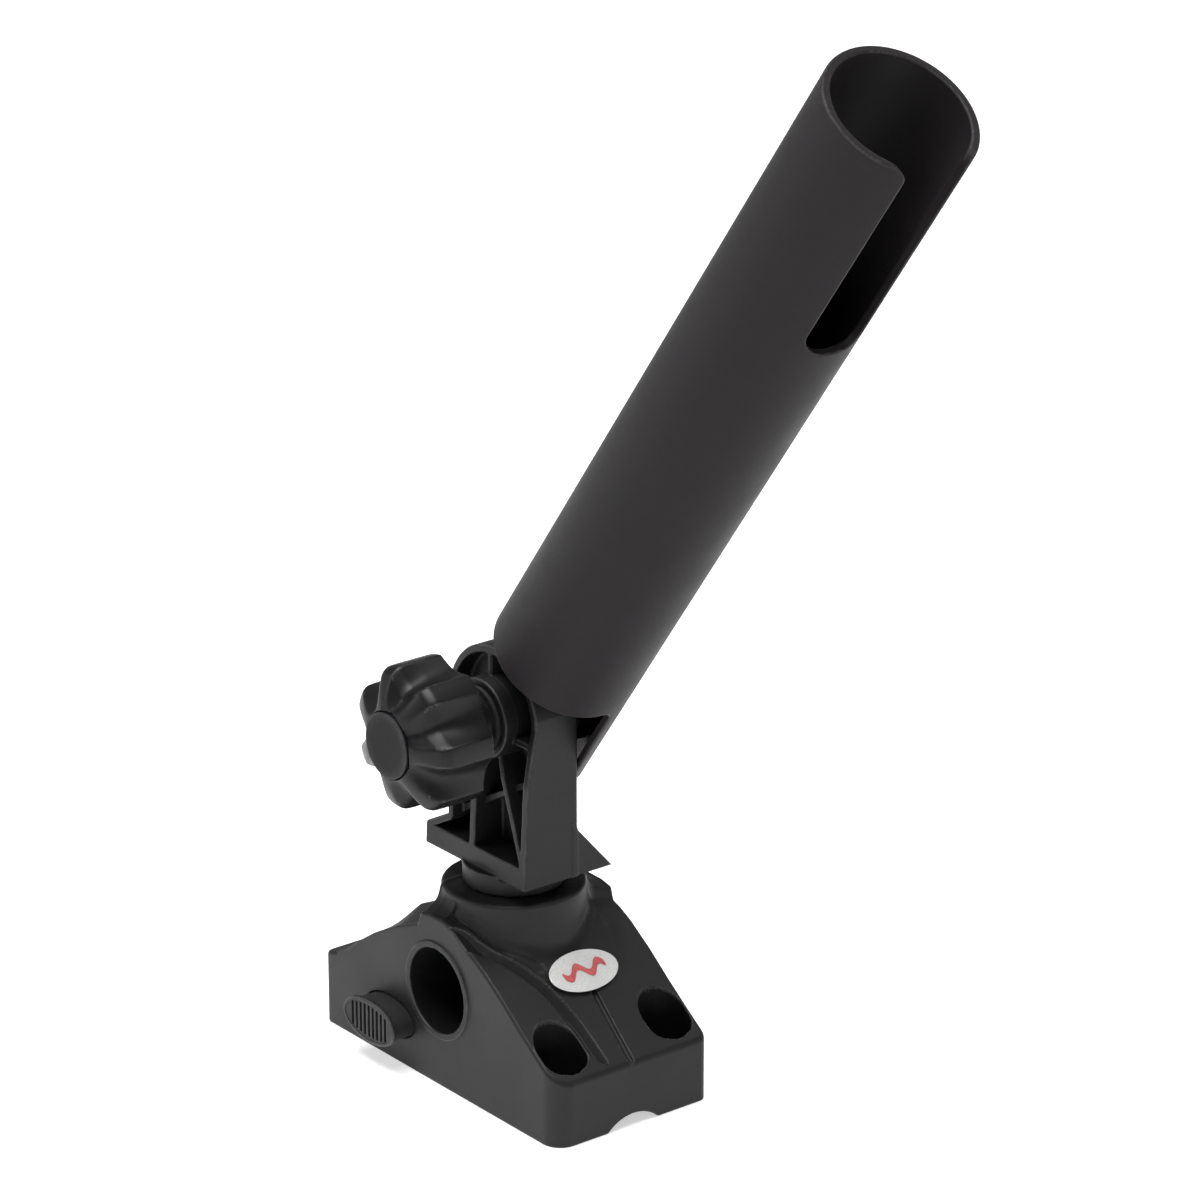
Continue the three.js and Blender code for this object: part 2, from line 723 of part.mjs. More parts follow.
function makeTube() {
  const low = TUBE_RISE;
  const high = TUBE_RISE + TUBE_LENGTH;
  const bore = barZ(TUBE_AHEAD, TUBE_Y, TUBE_BORE, -80, high + 10, 64);
  let tube = turnedZ([
    [0, low],
    [TUBE_RADIUS - 0.6, low],
    [TUBE_RADIUS, low + 0.6],
    [TUBE_RADIUS, high - 0.8],
    [TUBE_RADIUS - 0.8, high],
    [0, high],
  ], 64).translate([TUBE_AHEAD, TUBE_Y, 0]);

  // ear: part of the tube wall carried down past the clamp axis
  const rim = TUBE_RADIUS + 0.2;
  const earOutline = outline([
    [TUBE_AHEAD + rim, low + 0.8],
    [TUBE_AHEAD - rim, low + 0.8],
    [TUBE_AHEAD - rim + 1.2, low - 5.5],
    ...arcPairs(EAR_AHEAD, 0, EAR_RADIUS, 180, 360, 24),
  ]);
  const earBar = barZ(TUBE_AHEAD, TUBE_Y, TUBE_RADIUS, -40, low + 0.8, 64);
  const fillet = slabX([
    [EAR_EDGE_Y - EAR_FILLET, low + 0.8],
    [EAR_EDGE_Y - EAR_FILLET, low],
    ...arcPairs(EAR_EDGE_Y - EAR_FILLET, low - EAR_FILLET, EAR_FILLET, 75, 15, 4),
    [EAR_EDGE_Y + 0.5, low - EAR_FILLET],
    [EAR_EDGE_Y + 0.5, low + 0.8],
  ], -60, 60);
  const ear = slabY(earOutline, EAR_EDGE_Y, TUBE_Y + 40, 12).add(fillet).intersect(earBar);
  tube = tube.add(ear).subtract(bore);

  // boss inside the ear that meets the friction washer, and the bolt seat outside
  const boss = barY(0, 0, BOSS_RADIUS, EAR_BOSS_Y, TUBE_Y + 22.5, 40)
    .intersect(barZ(TUBE_AHEAD, TUBE_Y, TUBE_RADIUS - 0.6, -40, 40, 64));
  const seat = barY(0, 0, 10.6, TUBE_Y + 14, TUBE_Y + TUBE_RADIUS + 1.2, 32);
  tube = tube.add(boss).add(seat);
  tube = tube.subtract(barY(0, 0, BOLT_HOLE_RADIUS, -40, 60, 24));
  tube = tube.subtract(slabY(outline(hexPairs(0, 0, 16.8)), BOLT_SEAT_Y, 60));

  // line slot from the upper rim down the front
  const halfWidth = TUBE_RADIUS * Math.sin(THREE.MathUtils.degToRad(SLOT_HALF_ANGLE));
  const corner = 7.4;
  const floor = high - SLOT_LENGTH;
  const flare = 4.4;
  const slotPairs = [
    ...arcPairs(-halfWidth + corner, floor + corner, corner, 180, 270, 8),
    ...arcPairs(halfWidth - corner, floor + corner, corner, 270, 360, 8),
    ...arcPairs(halfWidth + flare, high - flare, flare, 180, 90, 6),
    [halfWidth + flare, high + 2],
    [-halfWidth - flare, high + 2],
    ...arcPairs(-halfWidth - flare, high - flare, flare, 90, 0, 6),
  ];
  const cut = slabX(slotPairs, 0, 40).translate([TUBE_AHEAD, TUBE_Y, 0]);
  return leaned(tube.subtract(cut));
}

addPiece('rod_tube', makeTube(), TUBE_BLACK, 0.42, 0);

// ---------------------------------------------------------------- clamp pieces
function washerY(y0, y1, outer, inner, segments = 40) {
  return barY(0, AXIS_Z, outer, y0, y1, segments)
    .subtract(barY(0, AXIS_Z, inner, y0 - 1, y1 + 1, 24));
}

addPiece('friction_washer', washerY(BOSS_FAR_Y + GAP, EAR_BOSS_Y - GAP, BOSS_RADIUS, 5), 0x26262a, 0.8, 0);
addPiece('bolt_washer', leaned(
  barY(0, 0, 7.6, BOLT_SEAT_Y + GAP, BOLT_SEAT_Y + 1.5, 24)
    .subtract(barY(0, 0, 4.2, 0, 60, 24)),
), STEEL, 0.3, 1);

function makeBolt() {
  const headLow = BOLT_SEAT_Y + 1.5 + GAP;
  const head = slabY(outline(hexPairs(0, 0, 13)), headLow, headLow + 5.2);
  const shank = turnedY(0, 0, [
    [0, -40],
    [BOLT_RADIUS - 0.9, -40],
    [BOLT_RADIUS, -39.1],
    [BOLT_RADIUS, headLow + 0.5],
    [0, headLow + 0.5],
  ], 24);
  return leaned(head.add(shank));
}

addPiece('pivot_bolt', makeBolt(), STEEL, 0.3, 1);
addPiece('pressure_washer', washerY(HUB_NEAR_Y - 1.7, HUB_NEAR_Y - GAP, 11, 4.3), 0x26262a, 0.8, 0);

// ---------------------------------------------------------------- knob
// [Y, depth of the flutes] from the dome to the rear rim
const FLUTE_DEPTHS = [
  [-49.6, 0],
  [-49, 0.8],
  [-48, 3],
  [-47, 4.6],
  [-45.5, 5.8],
  [-44.2, 6.2],
  [-43.3, 6.1],
  [-41, 5.6],
  [-38, 4.9],
  [-35, 4.2],
  [-30, 3.4],
  [KNOB_REAR_Y, 2.7],
];
const FLUTE_STEPS = 8;

// lobed outline at one Y: a land on each lobe, a shallow bow between lands
function lobedRing(y, depth) {
  const rim = Math.min(KNOB_RADIUS, Math.sqrt(KNOB_DOME * (y - KNOB_NEAR_Y)));
  const pitch = 360 / KNOB_LOBES;
  const reach = pitch / 2 - KNOB_LAND;
  const ring = [];
  for (let lobe = 0; lobe < KNOB_LOBES; lobe += 1) {
    const flute = KNOB_FIRST_LOBE + pitch * (lobe + 0.5);
    for (let step = 0; step <= FLUTE_STEPS; step += 1) {
      const share = (2 * step) / FLUTE_STEPS - 1;
      const angle = THREE.MathUtils.degToRad(flute + share * reach);
      const radius = rim - depth * (1 - share * share);
      ring.push([radius * Math.cos(angle), y, AXIS_Z + radius * Math.sin(angle)]);
    }
  }
  return ring;
}

// solid through rings of equal count, closed by a fan at each end
function lofted(rings) {
  const count = rings[0].length;
  const middle = (ring) => [0, ring[0][1], AXIS_Z];
  const triangles = [];
  for (let i = 0; i < count; i += 1) {
    const next = (i + 1) % count;
    triangles.push(middle(rings[0]), rings[0][i], rings[0][next]);
    for (let k = 1; k < rings.length; k += 1) {
      triangles.push(rings[k - 1][i], rings[k][i], rings[k][next]);
      triangles.push(rings[k - 1][i], rings[k][next], rings[k - 1][next]);
    }
    const rear = rings[rings.length - 1];
    triangles.push(middle(rear), rear[next], rear[i]);
  }
  const geometry = new THREE.BufferGeometry();
  geometry.setAttribute('position', new THREE.Float32BufferAttribute(triangles.flat(), 3));
  return toSolid(geometry);
}

function makeKnob() {
  let knob = lofted(FLUTE_DEPTHS.map(([y, depth]) => lobedRing(y, depth)));
  knob = knob.add(barY(0, AXIS_Z, KNOB_NECK_RADIUS, KNOB_REAR_Y - 1, KNOB_NECK_Y, 40));
  knob = knob.subtract(slabY(outline(hexPairs(0, AXIS_Z, 13.6)), -27.6, 0));
  knob = knob.subtract(barY(0, AXIS_Z, BOLT_HOLE_RADIUS, -42, 0, 24));
  // seat of the cap
  return knob.subtract(barY(0, AXIS_Z, KNOB_CAP_RADIUS + GAP, -60, KNOB_SEAT_Y, 48));
}

addPiece('knob_body', makeKnob(), BLACK, 0.5, 0);
addPiece('knob_insert', slabY(outline(hexPairs(0, AXIS_Z, 13)), -27.3, -16)
  .subtract(barY(0, AXIS_Z, 4.2, -60, 0, 24)), 0xb08d4a, 0.35, 1);

addPiece('knob_cap', turnedY(0, AXIS_Z, [
  [0, KNOB_CAP_Y],
  [KNOB_CAP_RADIUS - 0.4, KNOB_CAP_Y],
  [KNOB_CAP_RADIUS, KNOB_CAP_Y + 0.4],
  [KNOB_CAP_RADIUS, KNOB_SEAT_Y - GAP],
  [0, KNOB_SEAT_Y - GAP],
], 48), BLACK, 0.45, 0);

export default group;
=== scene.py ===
"""Looks of a fishing rod holder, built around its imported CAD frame.

Each moulded piece is described as a distance field in millimetres: a function
that says how far a point lies outside the material.  Fields join, cut and
overlap with rounded edges of a stated radius, as moulded plastic does.  The
zero surface of a field becomes the piece's mesh.
"""
import itertools
import json
import math

import bpy
import numpy as np
from mathutils import Matrix, Vector


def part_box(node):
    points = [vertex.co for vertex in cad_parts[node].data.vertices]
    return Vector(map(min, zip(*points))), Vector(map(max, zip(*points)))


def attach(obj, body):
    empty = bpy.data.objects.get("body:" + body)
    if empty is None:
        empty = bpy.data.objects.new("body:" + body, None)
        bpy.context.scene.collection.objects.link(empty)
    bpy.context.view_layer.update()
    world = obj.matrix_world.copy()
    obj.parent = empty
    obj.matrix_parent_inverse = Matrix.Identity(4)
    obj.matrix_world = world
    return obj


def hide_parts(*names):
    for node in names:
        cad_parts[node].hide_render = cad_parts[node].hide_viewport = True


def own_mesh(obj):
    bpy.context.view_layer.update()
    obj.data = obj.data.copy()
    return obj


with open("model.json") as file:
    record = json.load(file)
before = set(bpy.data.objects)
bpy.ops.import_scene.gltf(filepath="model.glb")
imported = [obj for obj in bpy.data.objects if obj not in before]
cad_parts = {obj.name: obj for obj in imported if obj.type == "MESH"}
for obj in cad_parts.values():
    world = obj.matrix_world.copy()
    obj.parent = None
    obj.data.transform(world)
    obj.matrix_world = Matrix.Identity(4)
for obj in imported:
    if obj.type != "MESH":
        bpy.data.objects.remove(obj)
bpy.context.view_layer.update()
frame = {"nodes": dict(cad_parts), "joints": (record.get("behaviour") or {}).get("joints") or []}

MM = 0.001
GAP = 0.3
FAR_OUT = 1e9


def span(node):
    """Lowest and highest corner of a CAD node in millimetres."""
    low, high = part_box(node)
    return [c / MM for c in low], [c / MM for c in high]


# ------------------------------------------------------------------ sizes
housing_low, housing_high = span("base_housing")
RING_PROUD = 0.8
BASE_BACK, BASE_FRONT = housing_low[0], housing_high[0]
BASE_NEAR, BASE_FAR = housing_low[1] + RING_PROUD, housing_high[1]
COLLAR_TOP = housing_high[2]
BASE_MID_X = (BASE_BACK + BASE_FRONT) / 2
BASE_MID_Y = (BASE_NEAR + BASE_FAR) / 2
BASE_HALF_X = (BASE_FRONT - BASE_BACK) / 2
BASE_HALF_Y = (BASE_FAR - BASE_NEAR) / 2
BACK_STRETCH = -BASE_BACK / BASE_FRONT
BASE_CORNER, TIGHT_CORNER = 7, 3
BASE_EDGE = 1.2
BASE_WALL = 3
FRONT_RUN = [16, 21, 31, 41, 50, BASE_FRONT, BASE_FRONT + 20]
FRONT_RISE = [51.7, 49.2, 42.6, 35, 28.6, 21.8, 9]
BACK_RUN = [16, 24.2, 31.1, 37.2, 45.1, 52.2, 57.5, -BASE_BACK, 20 - BASE_BACK]
BACK_RISE = [51.3, 47.8, 44, 40.5, 35.1, 29.5, 26.3, 25, 23]
STEP_RUN, STEP_RISE = [0, 6, 10.8, 11.6, 12.4], [58.5, 58.4, 57.4, 55.2, 53]
RAMP_RUN, RAMP_RISE = [0, 1, 7.3, 13], [58.5, 58.5, 56.9, 53.4]
FRONT_SWELL, FRONT_SWELL_REACH = 2.4, (28, 38)
BACK_SWELL, BACK_SWELL_REACH = 5, (31, 46)
COLLAR_RADIUS, COLLAR_LOW, COLLAR_FILLET = 23.3, 40, 3.2
SOCKET_RADIUS = 14.8
SOCKET_WALL = 2.4
SIDE_X, SIDE_Z = -1.5, 33.3
SIDE_RADIUS = 14.4
SIDE_END = 15
RING_WIDTH = 2.2
POCKETS = [(x, y) for x in (-50.5, 49) for y in (-20, 22)]
POCKET_RADIUS = 8.2
POCKET_SQUARE = 5.2
POCKET_FLOOR = 5
SCREW_HOLE = 2.7
COVER_SCREWS = [(x, y) for x in (-45.5, 45.5) for y in (-4.8, 4.8)]
COVER_TOP = 5.8
COVER_BOSS, COVER_THREAD = 3.4, 1.7
ARCH_RADIUS, ARCH_Y, ARCH_Z = 14.5, 1.2, -10.4
LATCH_LOW, LATCH_HIGH = 9.4, 13.6

button_low, button_high = span("release_button")
BUTTON_X = (button_low[0] + button_high[0]) / 2
BUTTON_Z = (button_low[2] + button_high[2]) / 2
BUTTON_HALF_X = (button_high[0] - button_low[0]) / 2
BUTTON_HALF_Z = (button_high[2] - button_low[2]) / 2
BUTTON_FACE = button_low[1]
BUTTON_INNER = button_high[1]
BUTTON_CAP = 2
BUTTON_RIM = 1.2
BUTTON_GROOVES, BUTTON_PITCH = 9, 2.2
SHANK_HALF_X, SHANK_HALF_Z = 12.8, 6.5

upright_low, upright_high = span("post_upright")
TOE_X, WALL_X = upright_low[0], 22.5
FOOT_LOW, FOOT_HIGH = 71, 78.5
FOOT_FAR_Y = upright_high[1]
NEAR_RISE = [FOOT_LOW + 1, 105.6, 124]
NEAR_Y = [-13.4, -11.8, -8.3]
HEAD_FAR_Y = 8.4
SHANK_X = -18
GUSSET_TOP = 87
FLANGE = 2.6
RIB = 2.2
WEB_HALF = 1.6
AXIS_Z = [j["pos_m"][2] for j in frame["joints"] if j["name"] == "tube_tilt"][0] / MM
HEAD_RADIUS = 22.9
HUB_RADIUS, HUB_NEAR_Y = 13.2, -13
BOSS_RADIUS, BOSS_FAR_Y = 15, 13
STEM_RADIUS, STEM_END = 14.4, upright_low[2]
STEM_GROOVE_RADIUS = 12.4
SHOULDER_RADIUS = 16.5
BOLT_HOLE = 4.3
HEAD_FLATS, INSERT_FLATS = 16.8, 13.6

LEAN = math.radians(36.1)
TUBE_RADIUS, TUBE_BORE = 24, 21.3
TUBE_AHEAD, TUBE_Y = 3.1, 4.6
TUBE_LOW, TUBE_LENGTH = 31.1, 257
TUBE_HIGH = TUBE_LOW + TUBE_LENGTH
SLOT_HALF = TUBE_RADIUS * math.sin(math.radians(28.2))
SLOT_FLOOR = TUBE_HIGH - 78
SLOT_CORNER, SLOT_FLARE = 7.4, 4.4
EAR_RADIUS, EAR_AHEAD, EAR_EDGE_Y, EAR_BOSS_Y = 23.2, 4, 9.2, 14.7
EAR_FILLET = 6
SEAT_RADIUS, SEAT_Y = 10.6, 23.2

knob_low, knob_high = span("knob_body")
KNOB_RADIUS = 23.8
KNOB_NEAR, KNOB_REAR, KNOB_NECK = -50.9, -25.4, knob_high[1]
KNOB_NECK_RADIUS = 10.2
KNOB_DOME = 76
KNOB_LOBES, FIRST_LOBE, LAND_HALF = 7, 106, 8.3
FLUTE_RUN = [0, 4.6, 9.6, 12.6, 15.6, 17.9, 18.8, 20.1, 21.6, 22.6, 23.6, 24.2]
FLUTE_DEPTH = [2.7, 3.4, 4.2, 4.9, 5.6, 6.1, 6.2, 5.8, 4.6, 3, 0.8, 0]
cap_low, cap_high = span("knob_cap")
CAP_RADIUS = (cap_high[0] - cap_low[0]) / 2
CAP_SEAT = cap_high[1] + GAP

BADGE_X, BADGE_Y = 31.5, 3
BADGE_LONG, BADGE_SHORT = 13.1, 7.4
BADGE_LIFT, BADGE_THICK = 0.75, 0.8
WAVE_HEIGHT, WAVE_LENGTH, WAVE_COUNT = 1.7, 16.8, 2
WAVE_HALF_WIDTH, WAVE_THICK = 1.3, 0.25


# ------------------------------------------------------------------ fields
def both(a, b, radius):
    """Overlap of two shapes, its outer edge rounded."""
    corner = np.hypot(np.maximum(a + radius, 0), np.maximum(b + radius, 0))
    return np.minimum(-radius, np.maximum(a, b)) + corner


def join(a, b, radius):
    """Two shapes joined, the inner corner between them filled."""
    corner = np.hypot(np.maximum(radius - a, 0), np.maximum(radius - b, 0))
    return np.maximum(radius, np.minimum(a, b)) - corner


def cut(a, b, radius):
    """Shape a with b taken away, the new edge rounded."""
    return both(a, -b, radius)


def disc(u, v, cu, cv, radius):
    """Round outline about a centre."""
    return np.hypot(u - cu, v - cv) - radius


def box(u, v, cu, cv, half_u, half_v, corner=0.0):
    """Rectangle about a centre, its corners rounded."""
    du = np.abs(u - cu) - half_u + corner
    dv = np.abs(v - cv) - half_v + corner
    outside = np.hypot(np.maximum(du, 0), np.maximum(dv, 0))
    return outside + np.minimum(np.maximum(du, dv), 0) - corner


def between(w, low, high):
    """Slab from low to high."""
    return np.maximum(low - w, w - high)


def bar(u, v, start, end, thickness):
    """Straight bar of even thickness between two points of a plane."""
    du, dv = end[0] - start[0], end[1] - start[1]
    length = math.hypot(du, dv)
    along = ((u - start[0]) * du + (v - start[1]) * dv) / length
    across = ((v - start[1]) * du - (u - start[0]) * dv) / length
    return np.maximum(np.abs(across) - thickness / 2, between(along, 0, length))


def polygon(u, v, points):
    """Distance to a closed outline."""
    nearest = np.full(np.shape(u), FAR_OUT)
    inside = np.zeros(np.shape(u), bool)
    for (au, av), (bu, bv) in zip(points, points[1:] + points[:1]):
        eu, ev = bu - au, bv - av
        wu, wv = u - au, v - av
        t = np.clip((wu * eu + wv * ev) / (eu * eu + ev * ev), 0, 1)
        nearest = np.minimum(nearest, (wu - eu * t) ** 2 + (wv - ev * t) ** 2)
        if av != bv:
            crosses = ((av > v) != (bv > v)) & (u < au + wv * eu / ev)
            inside ^= crosses
    return np.where(inside, -1, 1) * np.sqrt(nearest)


def hexagon(u, v, across_flats):
    """Hexagon about the origin with two flats square to the v axis."""
    result = np.full(np.shape(u), -FAR_OUT)
    for i in range(3):
        angle = math.radians(30 + 60 * i)
        result = np.maximum(result, np.abs(u * math.cos(angle) + v * math.sin(angle)) - across_flats / 2)
    return result


# ------------------------------------------------------------------ meshes
def even(low, high, step):
    """Evenly spaced axis positions, about a step apart."""
    return np.linspace(low, high, max(2, int(round((high - low) / step)) + 1))


def graded(*stretches):
    """Axis positions from (low, high, step) stretches that follow each other."""
    parts = [even(*stretch) for stretch in stretches]
    return np.concatenate([parts[0]] + [part[1:] for part in parts[1:]])


BLOCK = 8


def sample(field, axes):
    """Field values on a lattice, worked out fully only near the surface."""
    centres, halves, counts = [], [], []
    for axis in axes:
        starts = range(0, len(axis), BLOCK)
        chunks = [axis[s:s + BLOCK] for s in starts]
        centres.append(np.array([(c[0] + c[-1]) / 2 for c in chunks]))
        halves.append(np.array([(c[-1] - c[0]) / 2 for c in chunks]))
        counts.append([len(c) for c in chunks])
    coarse = field(*np.meshgrid(*centres, indexing="ij"))
    reach = np.sqrt(sum(h ** 2 for h in np.meshgrid(*halves, indexing="ij")))
    near = np.abs(coarse) < reach * 1.35 + 1.2
    for i in range(3):
        coarse = np.repeat(coarse, counts[i], axis=i)
        near = np.repeat(near, counts[i], axis=i)
    spots = np.nonzero(near)
    coarse[near] = field(*[axis[s] for axis, s in zip(axes, spots)])
    return coarse


CORNERS = list(itertools.product((0, 1), repeat=3))
CELL_EDGES = [(a, b) for a, b in itertools.combinations(CORNERS, 2)
              if sum(abs(p - q) for p, q in zip(a, b)) == 1]


def skin(values, axes):
    """Points and quads of the zero surface: one point in each lattice cell it crosses."""
    inside = values < 0
    size = values.shape
    held = np.zeros([n - 1 for n in size], np.uint8)
    for i, j, k in CORNERS:
        held += inside[i:size[0] - 1 + i, j:size[1] - 1 + j, k:size[2] - 1 + k]
    mixed = (held > 0) & (held < 8)
    cells = np.argwhere(mixed)
    total = np.zeros((len(cells), 3))
    hits = np.zeros(len(cells))
    for a, b in CELL_EDGES:
        ia, ib = (cells + a).T, (cells + b).T
        va, vb = values[tuple(ia)], values[tuple(ib)]
        hit = (va < 0) != (vb < 0)
        t = np.where(hit, va / np.where(hit, va - vb, 1), 0)
        for n in range(3):
            pa, pb = axes[n][ia[n]], axes[n][ib[n]]
            total[:, n] += np.where(hit, pa + (pb - pa) * t, 0)
        hits += hit
    points = total / hits[:, None]
    number = np.full(mixed.shape, -1, np.int64)
    number[mixed] = np.arange(len(cells))
    quads = []
    for n in range(3):
        m, o = (n + 1) % 3, (n + 2) % 3
        low = [slice(1, -1)] * 3
        high = [slice(1, -1)] * 3
        low[n], high[n] = slice(0, -1), slice(1, None)
        starts, ends = inside[tuple(low)], inside[tuple(high)]
        for outward, flip in ((starts & ~ends, False), (~starts & ends, True)):
            spots = np.argwhere(outward)
            spots[:, m] += 1
            spots[:, o] += 1
            ring = []
            for dm, do in ((-1, -1), (0, -1), (0, 0), (-1, 0)):
                cell = spots.copy()
                cell[:, m] += dm
                cell[:, o] += do
                ring.append(number[tuple(cell.T)])
            quads.append(np.stack(ring[::-1] if flip else ring, 1))
    return points, np.concatenate(quads)


def gradient(field, points, reach=0.03):
    """Slope of the field at each point; on the surface it is the outward direction."""
    result = np.empty_like(points)
    for n in range(3):
        ahead, behind = points.copy(), points.copy()
        ahead[:, n] += reach
        behind[:, n] -= reach
        result[:, n] = (field(*ahead.T) - field(*behind.T)) / (2 * reach)
    return result


def settle(field, points, steps=2):
    """Moves points onto the zero surface."""
    for _ in range(steps):
        slope = gradient(field, points)
        strength = np.maximum((slope ** 2).sum(1), 0.3)
        step = -(field(*points.T) / strength)[:, None] * slope
        points = points + np.clip(step, -0.25, 0.25)
    return points


def edge_share(field, points, reach=0.3):
    """1 on outer edges, 0 on faces: the surface's sharpness, from the field."""
    bend = -6 * field(*points.T)
    for n in range(3):
        for sign in (-1, 1):
            moved = points.copy()
            moved[:, n] += sign * reach
            bend = bend + field(*moved.T)
    return np.clip((bend / reach ** 2 - 0.55) / 0.6, 0, 1)


def mesh_points(mesh):
    """Vertex positions, one row each."""
    flat = np.empty(len(mesh.vertices) * 3)
    mesh.vertices.foreach_get("co", flat)
    return flat.reshape(-1, 3)


def thin_out(mesh, triangles):
    """Fewer faces where the surface is plain."""
    faces = 2 * len(mesh.polygons)
    if faces <= triangles:
        return mesh
    holder = bpy.data.objects.new("thinning", mesh)
    bpy.context.scene.collection.objects.link(holder)
    step = holder.modifiers.new("thin", "DECIMATE")
    step.ratio = triangles / faces
    shape = holder.evaluated_get(bpy.context.evaluated_depsgraph_get())
    result = bpy.data.meshes.new_from_object(shape)
    bpy.data.objects.remove(holder)
    return result


def moulded(name, field, axes, triangles, material, place=None):
    """Object made from a field; place turns the field's axes into the frame's."""
    points, quads = skin(sample(field, axes), axes)
    mesh = bpy.data.meshes.new(name)
    mesh.from_pydata(settle(field, points), [], quads)
    mesh = thin_out(mesh, triangles)
    mesh.name = name
    points = settle(field, mesh_points(mesh))
    normals = gradient(field, points)
    normals /= np.maximum(np.linalg.norm(normals, axis=1), 1e-6)[:, None]
    # Edge share, kept on the mesh: the material pales edges with it, as wear and as painted highlight.
    edge_wear_and_highlight = mesh.attributes.new("edge", "FLOAT", "POINT")
    edge_wear_and_highlight.data.foreach_set("value", edge_share(field, points).astype(np.float32))
    if place is not None:
        turn, shift = place
        points = points @ turn.T + shift
        normals = normals @ turn.T
    mesh.vertices.foreach_set("co", (points * MM).ravel())
    mesh.polygons.foreach_set("use_smooth", np.ones(len(mesh.polygons), bool))
    mesh.update()
    mesh.normals_split_custom_set_from_vertices([tuple(n) for n in normals])
    mesh.materials.append(material)
    piece = bpy.data.objects.new(name, mesh)
    bpy.context.scene.collection.objects.link(piece)
    return piece


# ------------------------------------------------------------------ materials
def plastic(name, colour, roughness, grain, grain_depth, wear_and_highlight_colour, shine=0.5, coat=0.0):
    """Moulded plastic: fine surface grain, faint clouding, edges smoother and paled toward a lighter colour,
    partly wear and partly painted highlight.
    """
    material = bpy.data.materials.new(name)
    material.use_nodes = True
    nodes, links = material.node_tree.nodes, material.node_tree.links
    shader = nodes["Principled BSDF"]
    shader.inputs["Specular IOR Level"].default_value = shine
    shader.inputs["Coat Weight"].default_value = coat
    shader.inputs["Coat Roughness"].default_value = 0.12
    place = nodes.new("ShaderNodeTexCoord")

    def noise(scale, detail):
        node = nodes.new("ShaderNodeTexNoise")
        node.inputs["Scale"].default_value = scale
        node.inputs["Detail"].default_value = detail
        links.new(place.outputs["Object"], node.inputs["Vector"])
        return node.outputs["Fac"]

    def spread(value, low, high, start=0.3, end=0.7):
        node = nodes.new("ShaderNodeMapRange")
        node.inputs["From Min"].default_value = start
        node.inputs["From Max"].default_value = end
        node.inputs["To Min"].default_value = low
        node.inputs["To Max"].default_value = high
        links.new(value, node.inputs["Value"])
        return node.outputs["Result"]

    def blend(amount, first, second):
        node = nodes.new("ShaderNodeMix")
        node.data_type = "RGBA"
        links.new(amount, node.inputs["Factor"])
        for socket, value in ((node.inputs["A"], first), (node.inputs["B"], second)):
            if isinstance(value, tuple):
                socket.default_value = (*value, 1)
            else:
                links.new(value, socket)
        return node.outputs["Result"]

    def maths(operation, first, second):
        node = nodes.new("ShaderNodeMath")
        node.operation = operation
        for socket, value in zip(node.inputs, (first, second)):
            if isinstance(value, (int, float)):
                socket.default_value = value
            else:
                links.new(value, socket)
        return node.outputs[0]

    clouds = noise(38, 3)
    speckle = noise(grain, 2)
    darker = tuple(c * 0.82 for c in colour)
    base = blend(spread(clouds, 0, 1), darker, colour)
    # Edges pale toward a lighter colour by edge share times noise: partly wear, partly a painted highlight
    # for light caught on rounded edges.
    edge = nodes.new("ShaderNodeAttribute")
    edge.attribute_name = "edge"
    on_edge = spread(edge.outputs["Fac"], 0, 1, 0.6, 1)
    rubbed_and_lit = maths("MULTIPLY", on_edge, spread(noise(160, 4), 0.25, 0.9))
    base = blend(rubbed_and_lit, base, wear_and_highlight_colour)
    links.new(base, shader.inputs["Base Color"])
    rough = maths("ADD", spread(clouds, roughness - 0.05, roughness + 0.05), spread(speckle, -0.03, 0.03))
    rough = maths("SUBTRACT", rough, maths("MULTIPLY", rubbed_and_lit, 0.1))
    links.new(rough, shader.inputs["Roughness"])
    bump = nodes.new("ShaderNodeBump")
    bump.inputs["Distance"].default_value = grain_depth * MM
    bump.inputs["Strength"].default_value = 1
    links.new(speckle, bump.inputs["Height"])
    links.new(bump.outputs["Normal"], shader.inputs["Normal"])
    return material


def metal(name, colour, roughness, scratch_scale):
    """Turned or pressed metal with fine scratches and a dull film in patches."""
    material = bpy.data.materials.new(name)
    material.use_nodes = True
    nodes, links = material.node_tree.nodes, material.node_tree.links
    shader = nodes["Principled BSDF"]
    shader.inputs["Metallic"].default_value = 1
    place = nodes.new("ShaderNodeTexCoord")
    stretch = nodes.new("ShaderNodeMapping")
    stretch.inputs["Scale"].default_value = (1, 6, 1)
    links.new(place.outputs["Object"], stretch.inputs["Vector"])
    scratches = nodes.new("ShaderNodeTexNoise")
    scratches.inputs["Scale"].default_value = scratch_scale
    scratches.inputs["Detail"].default_value = 4
    links.new(stretch.outputs["Vector"], scratches.inputs["Vector"])
    film = nodes.new("ShaderNodeTexNoise")
    film.inputs["Scale"].default_value = 120
    links.new(place.outputs["Object"], film.inputs["Vector"])
    ramp = nodes.new("ShaderNodeValToRGB")
    ramp.color_ramp.elements[0].position = 0.3
    ramp.color_ramp.elements[0].color = (*[c * 0.72 for c in colour], 1)
    ramp.color_ramp.elements[1].position = 0.7
    ramp.color_ramp.elements[1].color = (*colour, 1)
    links.new(film.outputs["Fac"], ramp.inputs["Fac"])
    links.new(ramp.outputs["Color"], shader.inputs["Base Color"])
    rough = nodes.new("ShaderNodeMapRange")
    rough.inputs["To Min"].default_value = roughness - 0.08
    rough.inputs["To Max"].default_value = roughness + 0.14
    links.new(scratches.outputs["Fac"], rough.inputs["Value"])
    links.new(rough.outputs["Result"], shader.inputs["Roughness"])
    bump = nodes.new("ShaderNodeBump")
    bump.inputs["Distance"].default_value = 0.01 * MM
    links.new(scratches.outputs["Fac"], bump.inputs["Height"])
    links.new(bump.outputs["Normal"], shader.inputs["Normal"])
    return material
